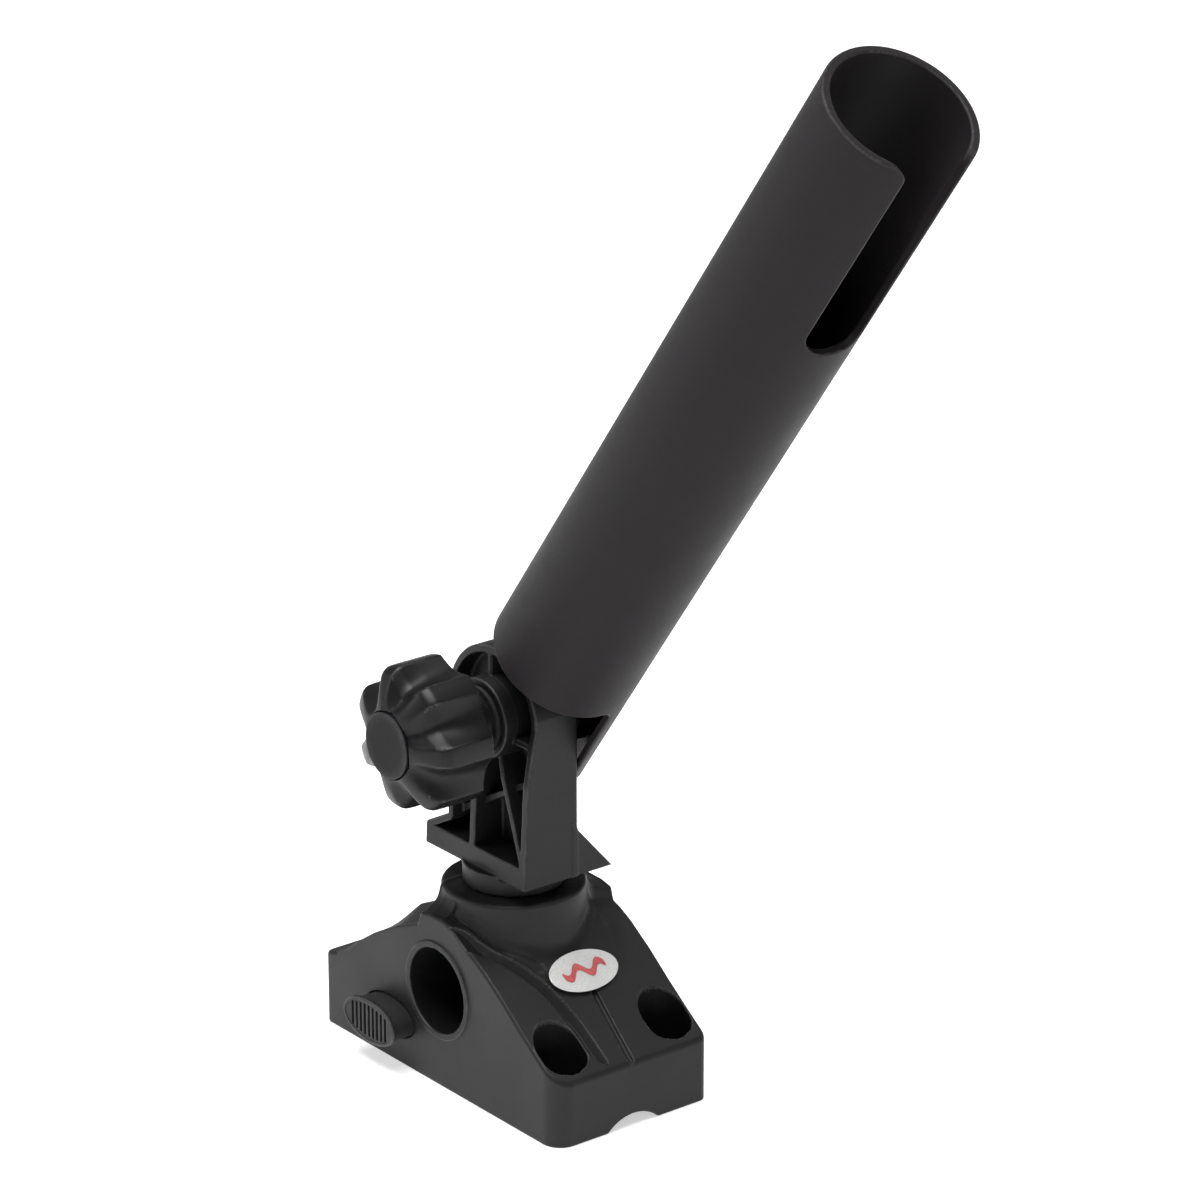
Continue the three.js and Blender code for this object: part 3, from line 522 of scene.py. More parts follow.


# Each wear-and-highlight colour is the paler colour edges take: partly wear, partly painted highlight.
BODY_PLASTIC = plastic(
    "body_plastic", colour=(0.0145, 0.0145, 0.0155), roughness=0.5, grain=2600, grain_depth=0.03,
    wear_and_highlight_colour=(0.075, 0.075, 0.079), shine=0.3)
# The body's black plastic made darker for the upright: painted shade.
UPRIGHT_SHADED_PLASTIC = plastic(
    "upright_painted_shade_plastic", colour=(0.0108, 0.0108, 0.0116), roughness=0.5, grain=2600, grain_depth=0.03,
    wear_and_highlight_colour=(0.065, 0.065, 0.068), shine=0.3)
TUBE_PLASTIC = plastic(
    "tube_plastic", colour=(0.0206, 0.0184, 0.02), roughness=0.5, grain=1500, grain_depth=0.004,
    wear_and_highlight_colour=(0.06, 0.056, 0.059), shine=0.09)
KNOB_PLASTIC = plastic(
    "knob_plastic", colour=(0.0068, 0.0068, 0.0076), roughness=0.38, grain=2200, grain_depth=0.015,
    wear_and_highlight_colour=(0.06, 0.06, 0.064), shine=0.26)
CAP_PLASTIC = plastic(
    "cap_plastic", colour=(0.0068, 0.0068, 0.0076), roughness=0.5, grain=2200, grain_depth=0.015,
    wear_and_highlight_colour=(0.05, 0.05, 0.054), shine=0.12)
BADGE_WHITE = plastic(
    "badge_white", colour=(0.86, 0.86, 0.85), roughness=0.3, grain=900, grain_depth=0.004,
    wear_and_highlight_colour=(0.92, 0.92, 0.92), coat=0.4)
BADGE_RED = plastic(
    "badge_red", colour=(0.62, 0.03, 0.035), roughness=0.35, grain=900, grain_depth=0.004,
    wear_and_highlight_colour=(0.75, 0.12, 0.12))
# Near-black plastic for the faces inside the side socket and screw pockets: painted shade in those recesses.
RECESS_PAINTED_SHADE = plastic(
    "recess_painted_shade", colour=(0.0065, 0.0065, 0.007), roughness=0.6, grain=2600, grain_depth=0.03,
    wear_and_highlight_colour=(0.03, 0.03, 0.03), shine=0.15)
# Dark rubber: the washers' own colour, and on the button's shank a painted shade.
DARK_RUBBER_AND_SHADE = plastic(
    "dark_rubber_and_shade", colour=(0.01, 0.01, 0.0105), roughness=0.75, grain=1800, grain_depth=0.03,
    wear_and_highlight_colour=(0.03, 0.03, 0.03))
STEEL = metal("bright_steel", colour=(0.62, 0.63, 0.65), roughness=0.3, scratch_scale=900)
BRASS = metal("brass", colour=(0.72, 0.5, 0.2), roughness=0.32, scratch_scale=900)


# ------------------------------------------------------------------ base
def slope_height(x):
    """Height of the front slope."""
    return float(np.interp(x, FRONT_RUN, FRONT_RISE))


PROFILE_STEPS = 880


def eased(runs, rises, width):
    """A profile of straight runs eased into one curve, with its pitch."""
    run = np.linspace(-20, BASE_FRONT + 24, PROFILE_STEPS)
    kinked = np.interp(run, runs, rises)
    kernel = np.hanning(2 * int(width * 5) + 1)
    kernel /= kernel.sum()
    rise = np.convolve(np.pad(kinked, len(kernel) // 2, mode="edge"), kernel, mode="valid")
    return run, rise, np.gradient(rise, run)


FRONT_RAMP = eased(RAMP_RUN + FRONT_RUN, RAMP_RISE + FRONT_RISE, 4)
FRONT_STEP = eased(STEP_RUN + FRONT_RUN, STEP_RISE + FRONT_RISE, 1.4)
BACK_RAMP = eased(RAMP_RUN + BACK_RUN, RAMP_RISE + BACK_RISE, 4)
BACK_STEP = eased(STEP_RUN + BACK_RUN, STEP_RISE + BACK_RISE, 1.4)


def above(profile, run, z):
    """Height of a point over a profile, measured square to its pitch."""
    pitch = np.interp(run, profile[0], profile[2])
    return (z - np.interp(run, profile[0], profile[1])) / np.sqrt(1 + pitch ** 2)


def swell(run, side, height, reach):
    """Low mound between the collar and the stepped edge of a slope, gone before the side wall."""
    around = np.degrees(np.arctan2(side, run))
    sideways = np.interp(around, [8, 40], [0, 1]) * np.interp(side, [20, 28.5], [1, 0])
    outward = np.interp(np.hypot(run, side), reach, [1, 0])
    return height * sideways * outward ** 2 * (3 - 2 * outward)


def roof(x, y, z):
    """How far a point lies above the slopes; half a turn carries the front end's plan onto the back end's."""
    side = y - BASE_MID_Y
    back_lift = swell(-x, -side, BACK_SWELL, BACK_SWELL_REACH)
    front_lift = swell(x, side, FRONT_SWELL, FRONT_SWELL_REACH)
    lift = np.where(x < 0, back_lift, front_lift)
    front = np.where(side < 0, above(FRONT_RAMP, x, z), above(FRONT_STEP, x, z - lift))
    back = np.where(side < 0, above(BACK_STEP, -x, z - lift), above(BACK_RAMP, -x, z))
    return np.where(x < 0, back, front)


def footprint(x, y):
    """Plan of the base: two opposite corners wide, two tight."""
    wide = box(x, y, BASE_MID_X, BASE_MID_Y, BASE_HALF_X, BASE_HALF_Y, BASE_CORNER)
    tight = box(x, y, BASE_MID_X, BASE_MID_Y, BASE_HALF_X, BASE_HALF_Y, TIGHT_CORNER)
    return np.where((x - BASE_MID_X) * (y - BASE_MID_Y) < 0, wide, tight)


def softened(points, rounds=2):
    """Closed outline with its corners cut again and again until it curves."""
    for _ in range(rounds):
        sides = list(zip(points, points[1:] + points[:1]))
        points = [
            (a[0] + (b[0] - a[0]) * t, a[1] + (b[1] - a[1]) * t)
            for a, b in sides
            for t in (0.25, 0.75)
        ]
    return points


# Relief of the front slope, seen from above: a tapering swoosh channel, a
# shallow hollow between it and the collar, and a thin groove below the badge.
CHANNEL = softened([
    (3, -32), (6.5, -26.4), (16.4, -22), (22.6, -16.5), (30.7, -11.6), (36.9, -9.3), (43.7, -7.4), (51.5, -7),
    (58.6, -6.9), (56.5, -10), (52.8, -11.9), (48.2, -11.8), (42.2, -12.5), (35.7, -13.8), (29.3, -16.8),
    (23.5, -20.3), (19.2, -24), (15.4, -27.4), (12.6, -32),
])
HOLLOW = softened([
    (0.5, -25.2), (6, -25), (15.8, -20.9), (22, -15.6), (30, -10.6), (27, -7.5), (21.5, -10.5), (15.5, -17.5),
    (8, -22), (0.5, -23.6),
])
CHANNEL_DEPTH, HOLLOW_DEPTH = 2.3, 1.7
GROOVE_START, GROOVE_END = (36, 3.2), (58.4, 0.9)
GROOVE_RADIUS = 1.0
RELIEF_BANK = 1.1


def relief(x, y, z):
    """What the relief takes out of the slopes; the back one is the front one after half a turn."""
    lid = roof(x, y, z)
    run = np.where(x < 0, -x / BACK_STRETCH, x)
    side = np.where(x < 0, 2 * BASE_MID_Y - y, y)
    channel = polygon(run, side, CHANNEL)
    fade = np.interp(side, [BASE_NEAR - 0.5, BASE_NEAR + 8], [0.15, 1])
    depth = np.minimum(CHANNEL_DEPTH * fade, np.maximum(-channel, 0) * RELIEF_BANK + 0.1)
    carved = both(channel, -(lid + depth), 0.2)
    hollow = polygon(run, side, HOLLOW)
    depth = np.interp(run, [1, 9, 17, 29], [0, 1, 1, 0.1]) * HOLLOW_DEPTH * fade
    depth = np.minimum(depth, np.maximum(-hollow, 0) * RELIEF_BANK + 0.1)
    carved = np.minimum(carved, both(hollow, -(lid + depth), 0.2))
    along = np.clip((run - GROOVE_START[0]) / (GROOVE_END[0] - GROOVE_START[0]), 0, 1)
    middle = GROOVE_START[1] + (GROOVE_END[1] - GROOVE_START[1]) * along
    beyond = np.maximum(GROOVE_START[0] - run, 0) + np.maximum(run - GROOVE_END[0], 0)
    groove = np.hypot(np.hypot(beyond, side - middle), np.minimum(lid, 0)) - GROOVE_RADIUS
    return np.minimum(carved, groove)


def pocket(x, y):
    """Screw pockets in plan: round toward the collar, squarer toward the end."""
    result = np.full(np.shape(x), FAR_OUT)
    for px, py in POCKETS:
        outward = 1 if px > 0 else -1
        squared = box(x, y, px + outward * 1.4, py, POCKET_RADIUS - 2.2, POCKET_RADIUS - 0.1, POCKET_SQUARE)
        result = np.minimum(result, np.minimum(disc(x, y, px, py, POCKET_RADIUS), squared))
    return result


def oval(u, v, cu, cv, half_u, half_v):
    """Ellipse, measured closely near its edge."""
    first = np.hypot((u - cu) / half_u, (v - cv) / half_v)
    second = np.hypot((u - cu) / half_u ** 2, (v - cv) / half_v ** 2)
    rim = first * (first - 1) / np.maximum(second, 1e-6)
    return np.where(first < 0.2, -0.8 * min(half_u, half_v), rim)


def housing(x, y, z):
    """Base: slopes, collar and side ring outside, hollow with bosses and sleeves inside."""
    plan = footprint(x, y)
    top = roof(x, y, z)
    body = both(plan, top, BASE_EDGE)
    body = cut(body, relief(x, y, z), 0.5)
    around = np.hypot(x, y)
    collar = np.maximum(both(around - COLLAR_RADIUS, z - COLLAR_TOP, 1.3), COLLAR_LOW - z)
    body = join(body, collar, COLLAR_FILLET)
    side = np.hypot(x - SIDE_X, z - SIDE_Z)
    ring = both(side - SIDE_RADIUS - RING_WIDTH, BASE_NEAR - RING_PROUD - y, 0.6)
    body = join(body, np.maximum(ring, y - BASE_NEAR - 4), 0.5)
    body = both(body, -z, 0.5)

    hollow = np.maximum(plan + BASE_WALL, top + BASE_WALL)
    hollow = np.maximum(hollow, -both(around - SOCKET_RADIUS - SOCKET_WALL, 15 - z, 0.4))
    sleeve = np.maximum(side - SIDE_RADIUS - SOCKET_WALL, y - SIDE_END - 2.5)
    hollow = np.maximum(hollow, -sleeve)
    pockets = pocket(x, y)
    hollow = np.maximum(hollow, 1.6 - pockets)
    for sx, sy in COVER_SCREWS:
        boss = np.maximum(disc(x, y, sx, sy, COVER_BOSS), COVER_TOP - z)
        hollow = np.maximum(hollow, -boss)
    spring_stop = np.maximum(box(x, z, -28.75, 40, 10.25, 26.4), between(y, -9.3, -7))
    hollow = np.maximum(hollow, -spring_stop)
    body = cut(body, hollow, 0.3)

    body = cut(body, around - SOCKET_RADIUS, 0.6)
    body = cut(body, np.maximum(side - SIDE_RADIUS, y - SIDE_END), 0.5)
    body = cut(body, np.maximum(pockets, POCKET_FLOOR - z), 0.5)
    for px, py in POCKETS:
        body = cut(body, disc(x, y, px, py, SCREW_HOLE), 0.3)
    for sx, sy in COVER_SCREWS:
        body = np.maximum(body, -np.maximum(disc(x, y, sx, sy, COVER_THREAD), between(z, -9, 13.5)))
    window = oval(x, z, BUTTON_X, BUTTON_Z, SHANK_HALF_X + 0.4, SHANK_HALF_Z + 0.4)
    body = cut(body, np.maximum(window, between(y, -40, -20)), 0.3)
    latch_way = np.maximum(box(x, y, -9.5, 1.1, 32.5, 25.3), between(z, LATCH_LOW + 0.2, LATCH_HIGH - 0.2))
    body = np.maximum(body, -latch_way)
    in_end_wall = BASE_HALF_X - BASE_WALL - 0.4 - np.abs(x - BASE_MID_X)
    arch = np.maximum(disc(y, z, ARCH_Y, ARCH_Z, ARCH_RADIUS), in_end_wall)
    return cut(body, arch, 0.4)


base_axes = [
    even(BASE_BACK - 1.2, BASE_FRONT + 1.2, 0.44),
    even(BASE_NEAR - 1.9, BASE_FAR + 1.2, 0.44),
    even(-1.2, COLLAR_TOP + 1.2, 0.44),
]
base_piece = moulded("base_shell", housing, base_axes, 185_000, BODY_PLASTIC)
# Faces inside the side socket and the screw pockets take the near-black recess material, a painted shade.
base_piece.data.materials.append(RECESS_PAINTED_SHADE)
centres = np.empty(3 * len(base_piece.data.polygons))
base_piece.data.polygons.foreach_get("center", centres)
cx, cy, cz = centres.reshape(-1, 3).T / MM
in_side = np.hypot(cx - SIDE_X, cz - SIDE_Z) < SIDE_RADIUS + 0.2
in_side &= (cy > BASE_NEAR + 0.8) & (cy < SIDE_END + 0.2)
in_pocket = (pocket(cx, cy) < 0.1) & (roof(cx, cy, cz) < -1.2) & (cz > POCKET_FLOOR - 0.2)
base_piece.data.polygons.foreach_set("material_index", (in_side | in_pocket).astype(np.int32))
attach(base_piece, "base")
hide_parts("base_housing")


# ------------------------------------------------------------------ upright
COLUMN_EDGE = [(TOE_X, FOOT_LOW), (WALL_X, FOOT_LOW), (WALL_X, AXIS_Z), (SHANK_X, AXIS_Z), (SHANK_X, 84.7),
               (TOE_X, FOOT_HIGH)]
INCLINED = ((TOE_X, FOOT_HIGH), (WALL_X, FOOT_HIGH + 29.3), RIB)
INCLINED_NEAR = -8.3
RIBS = [
    ((-5, FOOT_HIGH - 1), (-5, AXIS_Z), 3),
    ((21.4, FOOT_HIGH - 1), (4, AXIS_Z - 4), RIB),
    ((5, 118.4), (WALL_X, 118.4), RIB),
    ((-1, AXIS_Z), (-1, AXIS_Z + HEAD_RADIUS - 1), RIB),
]


def upright_face(x, z):
    """Side outline of the upright: foot with its toe, column and round head."""
    head = np.maximum(disc(x, z, 0, AXIS_Z, HEAD_RADIUS), x - WALL_X)
    return np.minimum(head, polygon(x, z, COLUMN_EDGE))


def upright(x, y, z):
    """Upright: ribbed column and head, hub and boss, foot with its gussets, shoulder and stem."""
    face = upright_face(x, z)
    front = np.interp(z, NEAR_RISE, NEAR_Y)
    thickness = np.maximum(front - y, y - HEAD_FAR_Y)
    body = both(face, thickness, 0.8)

    ribs = np.maximum(bar(x, z, *INCLINED), INCLINED_NEAR - y)
    for start, end, thick in RIBS:
        ribs = np.minimum(ribs, bar(x, z, start, end, thick))
    pocket_face = np.maximum(face + FLANGE, FOOT_HIGH - z)
    depth = np.minimum(np.abs(y) - WEB_HALF, 5)
    middle = disc(x, z, 0, AXIS_Z, 1)
    keep_near = np.minimum(ribs, middle + 1 - HUB_RADIUS)
    keep_far = np.minimum(ribs, middle + 1 - BOSS_RADIUS)
    keep = np.where(y < 0, keep_near, keep_far)
    draft = np.maximum(np.abs(y) - WEB_HALF, 0) * 0.018
    recess = both(both(pocket_face, -keep, 0.9) - draft, -depth, 1.0)
    body = cut(body, recess, 0.45)

    hub = both(both(middle + 1 - HUB_RADIUS, HUB_NEAR_Y - y, 0.7), y, 0.1)
    boss = both(both(middle + 1 - BOSS_RADIUS, y - BOSS_FAR_Y, 0.7), -y, 0.1)
    body = join(join(body, hub, 0.6), boss, 0.6)

    drop = (GUSSET_TOP - FOOT_LOW) / (FOOT_FAR_Y - HEAD_FAR_Y)
    sloping = (z - GUSSET_TOP + (y - HEAD_FAR_Y) * drop) / math.hypot(1, drop)
    wedge = both(np.maximum(sloping, FOOT_LOW - z), 6 - y, 0.5)
    plate = np.maximum(between(x, TOE_X, WALL_X), z - FOOT_LOW - 3.4)
    gussets = np.minimum(between(x, SHANK_X, SHANK_X + FLANGE), between(x, WALL_X - FLANGE, WALL_X))
    body = join(body, both(np.minimum(plate, gussets), wedge, 0.6), 0.8)

    around = np.hypot(x, y)
    shoulder = both(around - SHOULDER_RADIUS, np.maximum(COLLAR_TOP + GAP - z, z - FOOT_LOW - 1), 0.5)
    stem = both(around - STEM_RADIUS, np.maximum(STEM_END - z, z - FOOT_LOW), 1.2)
    groove = np.maximum(STEM_GROOVE_RADIUS - around, between(z, LATCH_LOW, LATCH_HIGH))
    stem = cut(stem, groove, 0.3)
    body = np.minimum(join(body, shoulder, 0.8), stem)
    return cut(body, disc(x, z, 0, AXIS_Z, BOLT_HOLE), 0.4)


upright_axes = [
    even(TOE_X - 1.2, HEAD_RADIUS + 1.4, 0.45),
    even(-17.8, FOOT_FAR_Y + 1.2, 0.45),
    graded((STEM_END - 1, 15, 0.4), (15, 63, 2), (63, AXIS_Z + HEAD_RADIUS + 1.2, 0.45)),
]
upright_piece = moulded("upright", upright, upright_axes, 90_000, UPRIGHT_SHADED_PLASTIC)
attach(upright_piece, "post")
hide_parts("post_upright")


# ------------------------------------------------------------------ rod tube
# Drawn standing up: u ahead, w across, v along the tube from the clamp axis.
def rod_tube(u, w, v):
    """Tube with its slot, ear, boss and bolt seat."""
    around = np.hypot(u - TUBE_AHEAD, w - TUBE_Y)
    wall = np.maximum(around - TUBE_RADIUS, TUBE_BORE - around)
    slot = box(w, v, TUBE_Y, SLOT_FLOOR + 100, SLOT_HALF, 100, SLOT_CORNER)
    slot = np.where(u > TUBE_AHEAD, slot, 50.0)
    top = both(v - TUBE_HIGH, -slot, SLOT_FLARE)
    ear_top = [
        (TUBE_AHEAD + TUBE_RADIUS + 0.4, TUBE_LOW + 9), (TUBE_AHEAD - TUBE_RADIUS - 0.2, TUBE_LOW + 9),
        (TUBE_AHEAD - TUBE_RADIUS + 1, TUBE_LOW - 5.5), (EAR_AHEAD - EAR_RADIUS, 0),
        (TUBE_AHEAD + TUBE_RADIUS + 0.4, 0),
    ]
    ear = np.minimum(polygon(u, v, ear_top), disc(u, v, EAR_AHEAD, 0, EAR_RADIUS))
    ear = both(ear, EAR_EDGE_Y - w, 2)
    below = join(TUBE_LOW - v, ear, EAR_FILLET)
    ends = both(top, below, 0.5)
    tube = both(wall, ends, 0.7)

    clamp = np.hypot(u, v)
    boss = np.maximum(both(clamp - BOSS_RADIUS, EAR_BOSS_Y - w, 0.6), around - TUBE_RADIUS + 0.6)
    tube = join(tube, boss, 0.8)
    seat = both(clamp - SEAT_RADIUS, w - TUBE_Y - TUBE_RADIUS - 1.2, 0.7)
    tube = join(tube, np.maximum(seat, TUBE_Y + 14 - w), 0.8)
    tube = cut(tube, np.maximum(hexagon(u, v, HEAD_FLATS), SEAT_Y - w), 0.4)
    return cut(tube, np.maximum(clamp - BOLT_HOLE, 5 - w), 0.4)


tube_axes = [
    even(TUBE_AHEAD - TUBE_RADIUS - 1.2, TUBE_AHEAD + TUBE_RADIUS + 1.6, 0.5),
    even(TUBE_Y - TUBE_RADIUS - 1.2, TUBE_Y + TUBE_RADIUS + 2.6, 0.5),
    graded((-EAR_RADIUS - 1.4, 42, 0.5), (42, SLOT_FLOOR - 3, 3), (SLOT_FLOOR - 3, SLOT_FLOOR + 10, 0.5),
           (SLOT_FLOOR + 10, TUBE_HIGH - 8, 3), (TUBE_HIGH - 8, TUBE_HIGH + 1.2, 0.4)),
]
lean = Matrix.Rotation(LEAN, 3, "Y")
tube_place = (np.array(lean), np.array([0, 0, AXIS_Z]))
tube_piece = moulded("tube_with_ear", rod_tube, tube_axes, 70_000, TUBE_PLASTIC, tube_place)
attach(tube_piece, "holder")
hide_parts("rod_tube")


# ------------------------------------------------------------------ knob
RIM_EDGE = 2.4
FLANK_SHARE = 0.86
FLUTE = eased(FLUTE_RUN, FLUTE_DEPTH, 2)


def knob(x, y, z):
    """Lobed knob: a domed front, with flutes between the lobes that bow inward."""
    around = np.hypot(x, z - AXIS_Z)
    angle = np.degrees(np.arctan2(z - AXIS_Z, x))
    pitch = 360 / KNOB_LOBES
    off_centre = (angle - FIRST_LOBE) % pitch - pitch / 2
    share = np.abs(off_centre) / (pitch / 2 - LAND_HALF)
    bow = np.interp(KNOB_REAR - y, FLUTE[0], FLUTE[1]) * (1 - share ** 2)
    soft = np.interp(y, [-48, -43, -38], [1.4, 0.8, 0.2])
    bow = (bow + np.sqrt(bow ** 2 + soft ** 2)) / 2
    dome = (around + bow) ** 2 / KNOB_DOME + KNOB_NEAR - y
    dome = dome / np.sqrt(1 + (2 * around / KNOB_DOME) ** 2)
    lobes = (around + bow - KNOB_RADIUS) * np.where(share < 1, FLANK_SHARE, 1)
    body = both(lobes, dome, RIM_EDGE)
    body = both(body, y - KNOB_REAR, 0.4)
    neck = both(around - KNOB_NECK_RADIUS, y - KNOB_NECK, 0.5)
    body = join(body, np.maximum(neck, KNOB_REAR - 3 - y), 1.0)
    body = cut(body, np.maximum(hexagon(x, z - AXIS_Z, INSERT_FLATS), -27.6 - y), 0.3)
    body = cut(body, np.maximum(around - BOLT_HOLE, -42 - y), 0.3)
    return cut(body, np.maximum(around - CAP_RADIUS - GAP, y - CAP_SEAT), 0.3)


knob_axes = [
    even(-KNOB_RADIUS - 1.2, KNOB_RADIUS + 1.2, 0.4),
    even(KNOB_NEAR - 1.2, KNOB_NECK + 1.2, 0.4),
    even(AXIS_Z - KNOB_RADIUS - 1.2, AXIS_Z + KNOB_RADIUS + 1.2, 0.4),
]
knob_piece = moulded("clamp_knob", knob, knob_axes, 60_000, KNOB_PLASTIC)
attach(knob_piece, "knob")
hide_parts("knob_body")


def knob_cap(x, y, z):
    """Round cap with a faint crown."""
    around = np.hypot(x, z - AXIS_Z)
    cap = both(around - CAP_RADIUS, np.maximum(cap_low[1] - y, y - cap_high[1]), 0.5)
    return both(cap, around ** 2 / 1500 + cap_low[1] - y, 0.2)


cap_axes = [
    even(-CAP_RADIUS - 1, CAP_RADIUS + 1, 0.3),
    even(cap_low[1] - 1, cap_high[1] + 1, 0.25),
    even(AXIS_Z - CAP_RADIUS - 1, AXIS_Z + CAP_RADIUS + 1, 0.3),
]
cap_piece = moulded("knob_end_cap", knob_cap, cap_axes, 16_000, CAP_PLASTIC)
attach(cap_piece, "knob")
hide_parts("knob_cap")


# ------------------------------------------------------------------ button
def release_button(x, y, z):
    """Oval cap with upright grooves on a shank that is notched for the latch."""
    face = oval(x, z, BUTTON_X, BUTTON_Z, BUTTON_HALF_X, BUTTON_HALF_Z)
    head = both(face, np.maximum(BUTTON_FACE - y, y - BUTTON_FACE - BUTTON_CAP), 0.7)
    shank = oval(x, z, BUTTON_X, BUTTON_Z, SHANK_HALF_X, SHANK_HALF_Z)
    shank = both(shank, np.maximum(BUTTON_FACE + 1 - y, y - BUTTON_INNER), 0.4)
    body = join(head, shank, 0.5)
    body = cut(body, both(face + BUTTON_RIM, y - BUTTON_FACE - 0.3, 0.2), 0.25)
    last = (BUTTON_GROOVES - 1) // 2
    middle = BUTTON_PITCH * np.clip(np.round((x - BUTTON_X) / BUTTON_PITCH), -last, last)
    reach = (BUTTON_HALF_Z - 1.9) * np.sqrt(1 - (middle / BUTTON_HALF_X) ** 2)
    groove = box(x - BUTTON_X - middle, z - BUTTON_Z, 0, 0, 0.55, reach, 0.5)
    body = cut(body, np.maximum(groove, y - BUTTON_FACE - 1.3), 0.2)
    notch = np.maximum(np.maximum(np.abs(x - BUTTON_X) - 6.3, between(z, 9.7, 13.3)), -27.3 - y)
    return cut(body, notch, 0.2)


button_axes = [
    even(BUTTON_X - BUTTON_HALF_X - 0.9, BUTTON_X + BUTTON_HALF_X + 0.9, 0.3),
    even(BUTTON_FACE - 0.9, BUTTON_INNER + 0.9, 0.3),
    even(BUTTON_Z - BUTTON_HALF_Z - 0.9, BUTTON_Z + BUTTON_HALF_Z + 0.9, 0.3),
]
button_piece = moulded("button_cap", release_button, button_axes, 24_000, BODY_PLASTIC)
# Shank faces behind the cap take the dark rubber material: painted shade in the window gap.
button_piece.data.materials.append(DARK_RUBBER_AND_SHADE)
for face in button_piece.data.polygons:
    if face.center.y > (BUTTON_FACE + BUTTON_CAP) * MM:
        face.material_index = 1
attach(button_piece, "button")
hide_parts("release_button")


# ------------------------------------------------------------------ button springs
WIRE = 0.45
COIL_TURNS, COIL_STEPS, WIRE_SIDES = 5, 28, 10


def coil_spring(name, low, high):
    """Coil spring along Y with closer end turns, between two corners."""
    count = COIL_TURNS * COIL_STEPS + 1
    share = np.linspace(0, 1, count)
    travel = np.interp(share, [0, 0.16, 0.84, 1], [0, 0.1, 0.9, 1])
    angle = share * COIL_TURNS * math.tau
    outward = np.stack([np.cos(angle), np.zeros(count), np.sin(angle)], axis=1)
    centre = (low + high) / 2 + outward * ((high[0] - low[0]) / 2 - WIRE)
    centre[:, 1] = low[1] + WIRE + (high[1] - low[1] - 2 * WIRE) * travel
    points = []
    for middle, away in zip(centre, outward):
        for k in range(WIRE_SIDES):
            turn = math.tau * k / WIRE_SIDES
            points.append(middle + WIRE * (math.cos(turn) * away + math.sin(turn) * np.array([0, 1, 0])))
    faces = [tuple(reversed(range(WIRE_SIDES))), tuple(range(len(points) - WIRE_SIDES, len(points)))]
    for i in range(count - 1):
        for k in range(WIRE_SIDES):
            start, after = i * WIRE_SIDES + k, i * WIRE_SIDES + (k + 1) % WIRE_SIDES
            faces.append((start, after, after + WIRE_SIDES, start + WIRE_SIDES))
    mesh = bpy.data.meshes.new(name)
    mesh.from_pydata([tuple(point * MM) for point in points], [], faces)
    mesh.polygons.foreach_set("use_smooth", np.ones(len(mesh.polygons), bool))
    mesh.materials.append(STEEL)
    piece = bpy.data.objects.new(name, mesh)
    bpy.context.scene.collection.objects.link(piece)
    return piece


for number in (1, 2):
    low, high = [np.array(corner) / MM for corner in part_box(f"button_spring_{number}")]
    spring = coil_spring(f"coil_spring_{number}", low, high)
    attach(spring, "base")
    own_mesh(spring)
    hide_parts(f"button_spring_{number}")


# ------------------------------------------------------------------ badge
# Drawn flat: p down the slope, q across, h above the slope.
badge_tilt = math.atan2(slope_height(26) - slope_height(35), 9)
badge_turn = np.array(Matrix.Rotation(badge_tilt, 3, "Y"))
badge_place = (badge_turn, np.array([BADGE_X, BADGE_Y, slope_height(BADGE_X)]))


def badge_plate(p, q, h):
    """Oval plate with a faint crown."""
    share = np.hypot(p / BADGE_SHORT, q / BADGE_LONG)
    dome = BADGE_LIFT + BADGE_THICK - 0.12 * np.minimum(share, 1.2) ** 2
    return both(oval(p, q, 0, 0, BADGE_SHORT, BADGE_LONG), np.maximum(h - dome, BADGE_LIFT - h), 0.3)


def badge_wave(p, q, h):
    """Wave line on the plate."""
    line = WAVE_HEIGHT * np.sin(q / WAVE_LENGTH * math.tau * WAVE_COUNT)
    across = (np.abs(p - line) - WAVE_HALF_WIDTH) / math.sqrt(2)
    shape = both(across, np.abs(q) - WAVE_LENGTH / 2 + 0.05, 0.4)
    low = BADGE_LIFT + BADGE_THICK + 0.05
    return both(shape, np.maximum(low - h, h - low - WAVE_THICK), 0.1)


plate_axes = [
    even(-BADGE_SHORT - 0.8, BADGE_SHORT + 0.8, 0.25),
    even(-BADGE_LONG - 0.8, BADGE_LONG + 0.8, 0.25),
    even(BADGE_LIFT - 0.7, BADGE_LIFT + 1.5, 0.15),
]
wave_axes = [
    even(-3.9, 3.9, 0.12),
    even(-9, 9, 0.12),
    even(BADGE_LIFT + 0.6, BADGE_LIFT + 1.4, 0.1),
]
for piece_name, field, axes, faces, material, node, finish in (
    ("badge_oval", badge_plate, plate_axes, 12_000, BADGE_WHITE, "badge_plate", "white_badge"),
    ("badge_wave_line", badge_wave, wave_axes, 9_000, BADGE_RED, "badge_wave", "red_print"),
):
    badge_piece = moulded(piece_name, field, axes, faces, material, badge_place)
    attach(badge_piece, "base")
    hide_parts(node)


# ------------------------------------------------------------------ metalwork and inner pieces
INNER_FINISH = {
    "bottom_cover": BODY_PLASTIC,
    "friction_washer": DARK_RUBBER_AND_SHADE,
    "pressure_washer": DARK_RUBBER_AND_SHADE,
    "knob_insert": BRASS,
}
for node_name, cad_object in frame["nodes"].items():
    if cad_object.hide_render:
        continue
    finish = INNER_FINISH.get(node_name, STEEL)
    cad_object.data.materials.clear()
    cad_object.data.materials.append(finish)
    edge_round = cad_object.modifiers.new("edge_round", "BEVEL")
    edge_round.width = 0.2 * MM
    edge_round.segments = 2
    edge_round.limit_method = "ANGLE"
    edge_round.angle_limit = math.radians(40)


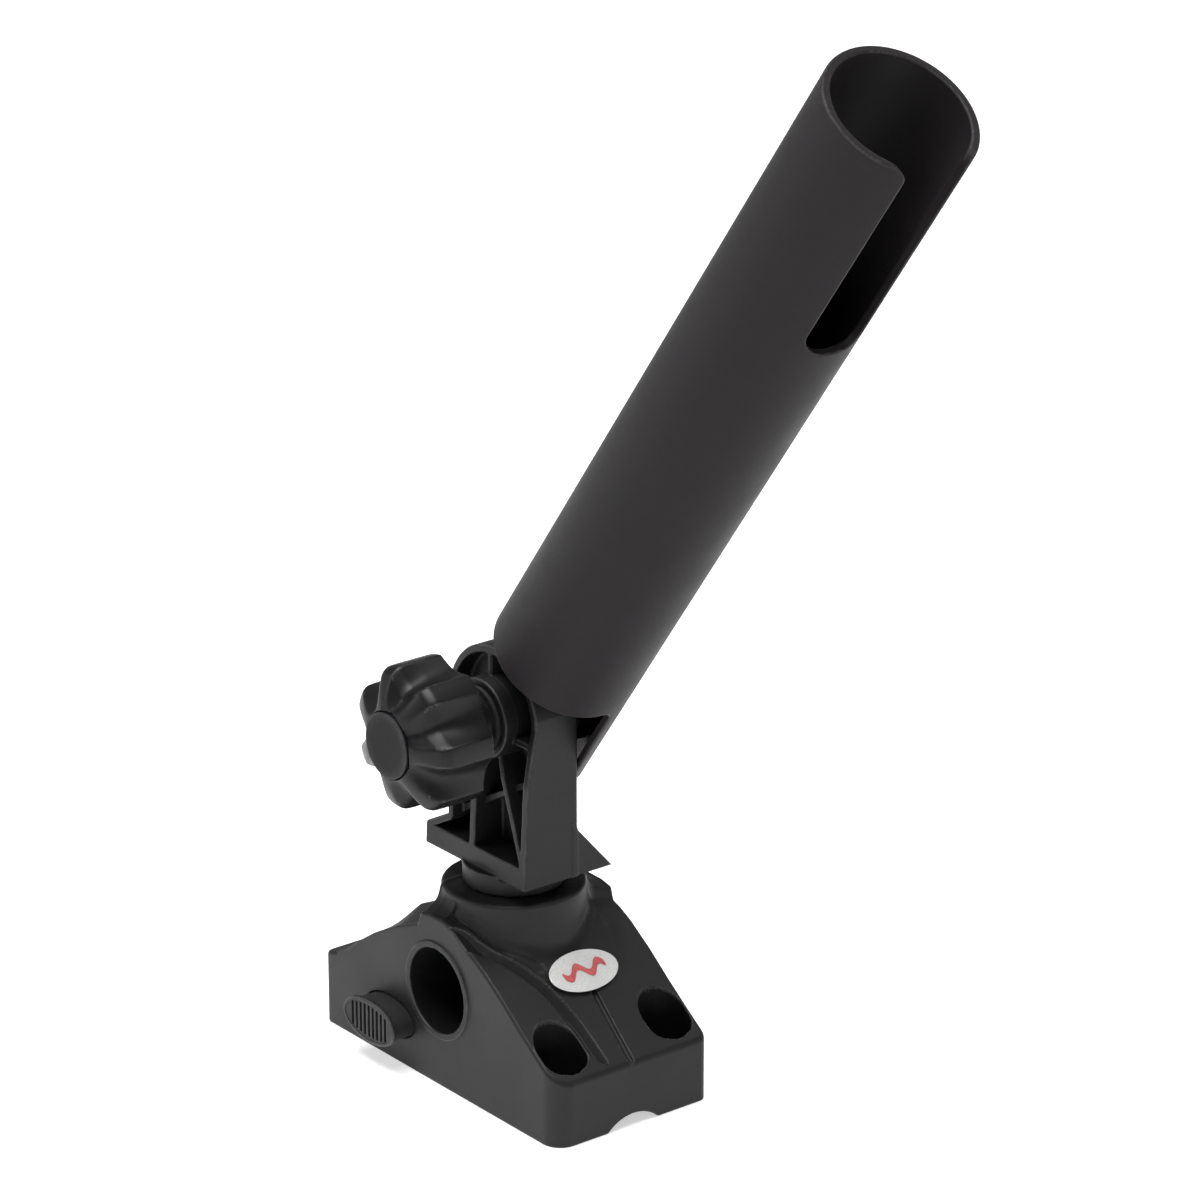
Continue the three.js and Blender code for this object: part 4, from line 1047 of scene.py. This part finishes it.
# ------------------------------------------------------------------ stage
def floor_material():
    """Pale matt floor that shines a little, as a white sweep does."""
    material = bpy.data.materials.new("pale_floor")
    material.use_nodes = True
    nodes, links = material.node_tree.nodes, material.node_tree.links
    shader = nodes["Principled BSDF"]
    shader.inputs["Specular IOR Level"].default_value = 0.2
    texture = nodes.new("ShaderNodeTexNoise")
    texture.inputs["Scale"].default_value = 3
    ramp = nodes.new("ShaderNodeValToRGB")
    ramp.color_ramp.elements[0].color = (0.84, 0.84, 0.84, 1)
    ramp.color_ramp.elements[1].color = (0.88, 0.88, 0.88, 1)
    links.new(texture.outputs["Fac"], ramp.inputs["Fac"])
    links.new(ramp.outputs["Color"], shader.inputs["Base Color"])
    shader.inputs["Roughness"].default_value = 0.8
    shader.inputs["Emission Color"].default_value = (1, 1, 1, 1)
    shader.inputs["Emission Strength"].default_value = 0.55
    return material


FLOOR_RADIUS, FLOOR_SIDES = 6, 96
floor_mesh = bpy.data.meshes.new("floor")
floor_ring = []
for i in range(FLOOR_SIDES):
    angle = math.tau * i / FLOOR_SIDES
    floor_ring.append((FLOOR_RADIUS * math.cos(angle), FLOOR_RADIUS * math.sin(angle), 0))
floor_mesh.from_pydata(floor_ring, [], [list(range(FLOOR_SIDES))])
floor_mesh.materials.append(floor_material())
floor = bpy.data.objects.new("floor", floor_mesh)
bpy.context.scene.collection.objects.link(floor)

world = bpy.data.worlds.new("studio")
bpy.context.scene.world = world
world.use_nodes = True
sky = world.node_tree.nodes["Background"]
sky.inputs["Color"].default_value = (1, 1, 1, 1)
sky.inputs["Strength"].default_value = 0.2
bpy.context.scene.view_settings.view_transform = "Standard"


def softbox(name, position, target, size, power):
    """Round area light turned toward a target."""
    light = bpy.data.lights.new(name, "AREA")
    light.shape = "ELLIPSE"
    light.size, light.size_y = size
    light.energy = power
    holder = bpy.data.objects.new(name, light)
    bpy.context.scene.collection.objects.link(holder)
    holder.location = position
    aim = Vector(target) - Vector(position)
    holder.rotation_euler = aim.to_track_quat("-Z", "Y").to_euler()


softbox("key_light", (0.1, -0.3, 2.2), (0.03, 0, 0.1), (1.6, 1.6), 60)
softbox("left_light", (-1.1, -1.5, 0.9), (0.03, 0, 0.12), (0.9, 0.9), 7.8)
softbox("back_light", (0.2, 1.3, 1.5), (0, 0, 0.15), (0.9, 0.9), 3.6)


# ------------------------------------------------------------------ camera
AZIMUTH, ELEVATION = math.radians(51.6), math.radians(20.7)
DISTANCE, AIM_RIGHT, AIM_UP = 1.6667, 0.02748, 0.1494
LENS, SENSOR = 154.4, 36
right = Vector((math.cos(AZIMUTH), math.sin(AZIMUTH), 0))
level = math.cos(ELEVATION)
back = Vector((math.sin(AZIMUTH) * level, -math.cos(AZIMUTH) * level, math.sin(ELEVATION)))
up = back.cross(right)
camera_data = bpy.data.cameras.new("camera")
camera_data.lens = LENS
camera_data.sensor_width = SENSOR
camera = bpy.data.objects.new("camera", camera_data)
bpy.context.scene.collection.objects.link(camera)
camera.matrix_world = Matrix((
    (right.x, up.x, back.x, 0),
    (right.y, up.y, back.y, 0),
    (right.z, up.z, back.z, 0),
    (0, 0, 0, 1),
))
camera.location = back * DISTANCE + right * AIM_RIGHT + up * AIM_UP
bpy.context.scene.camera = camera
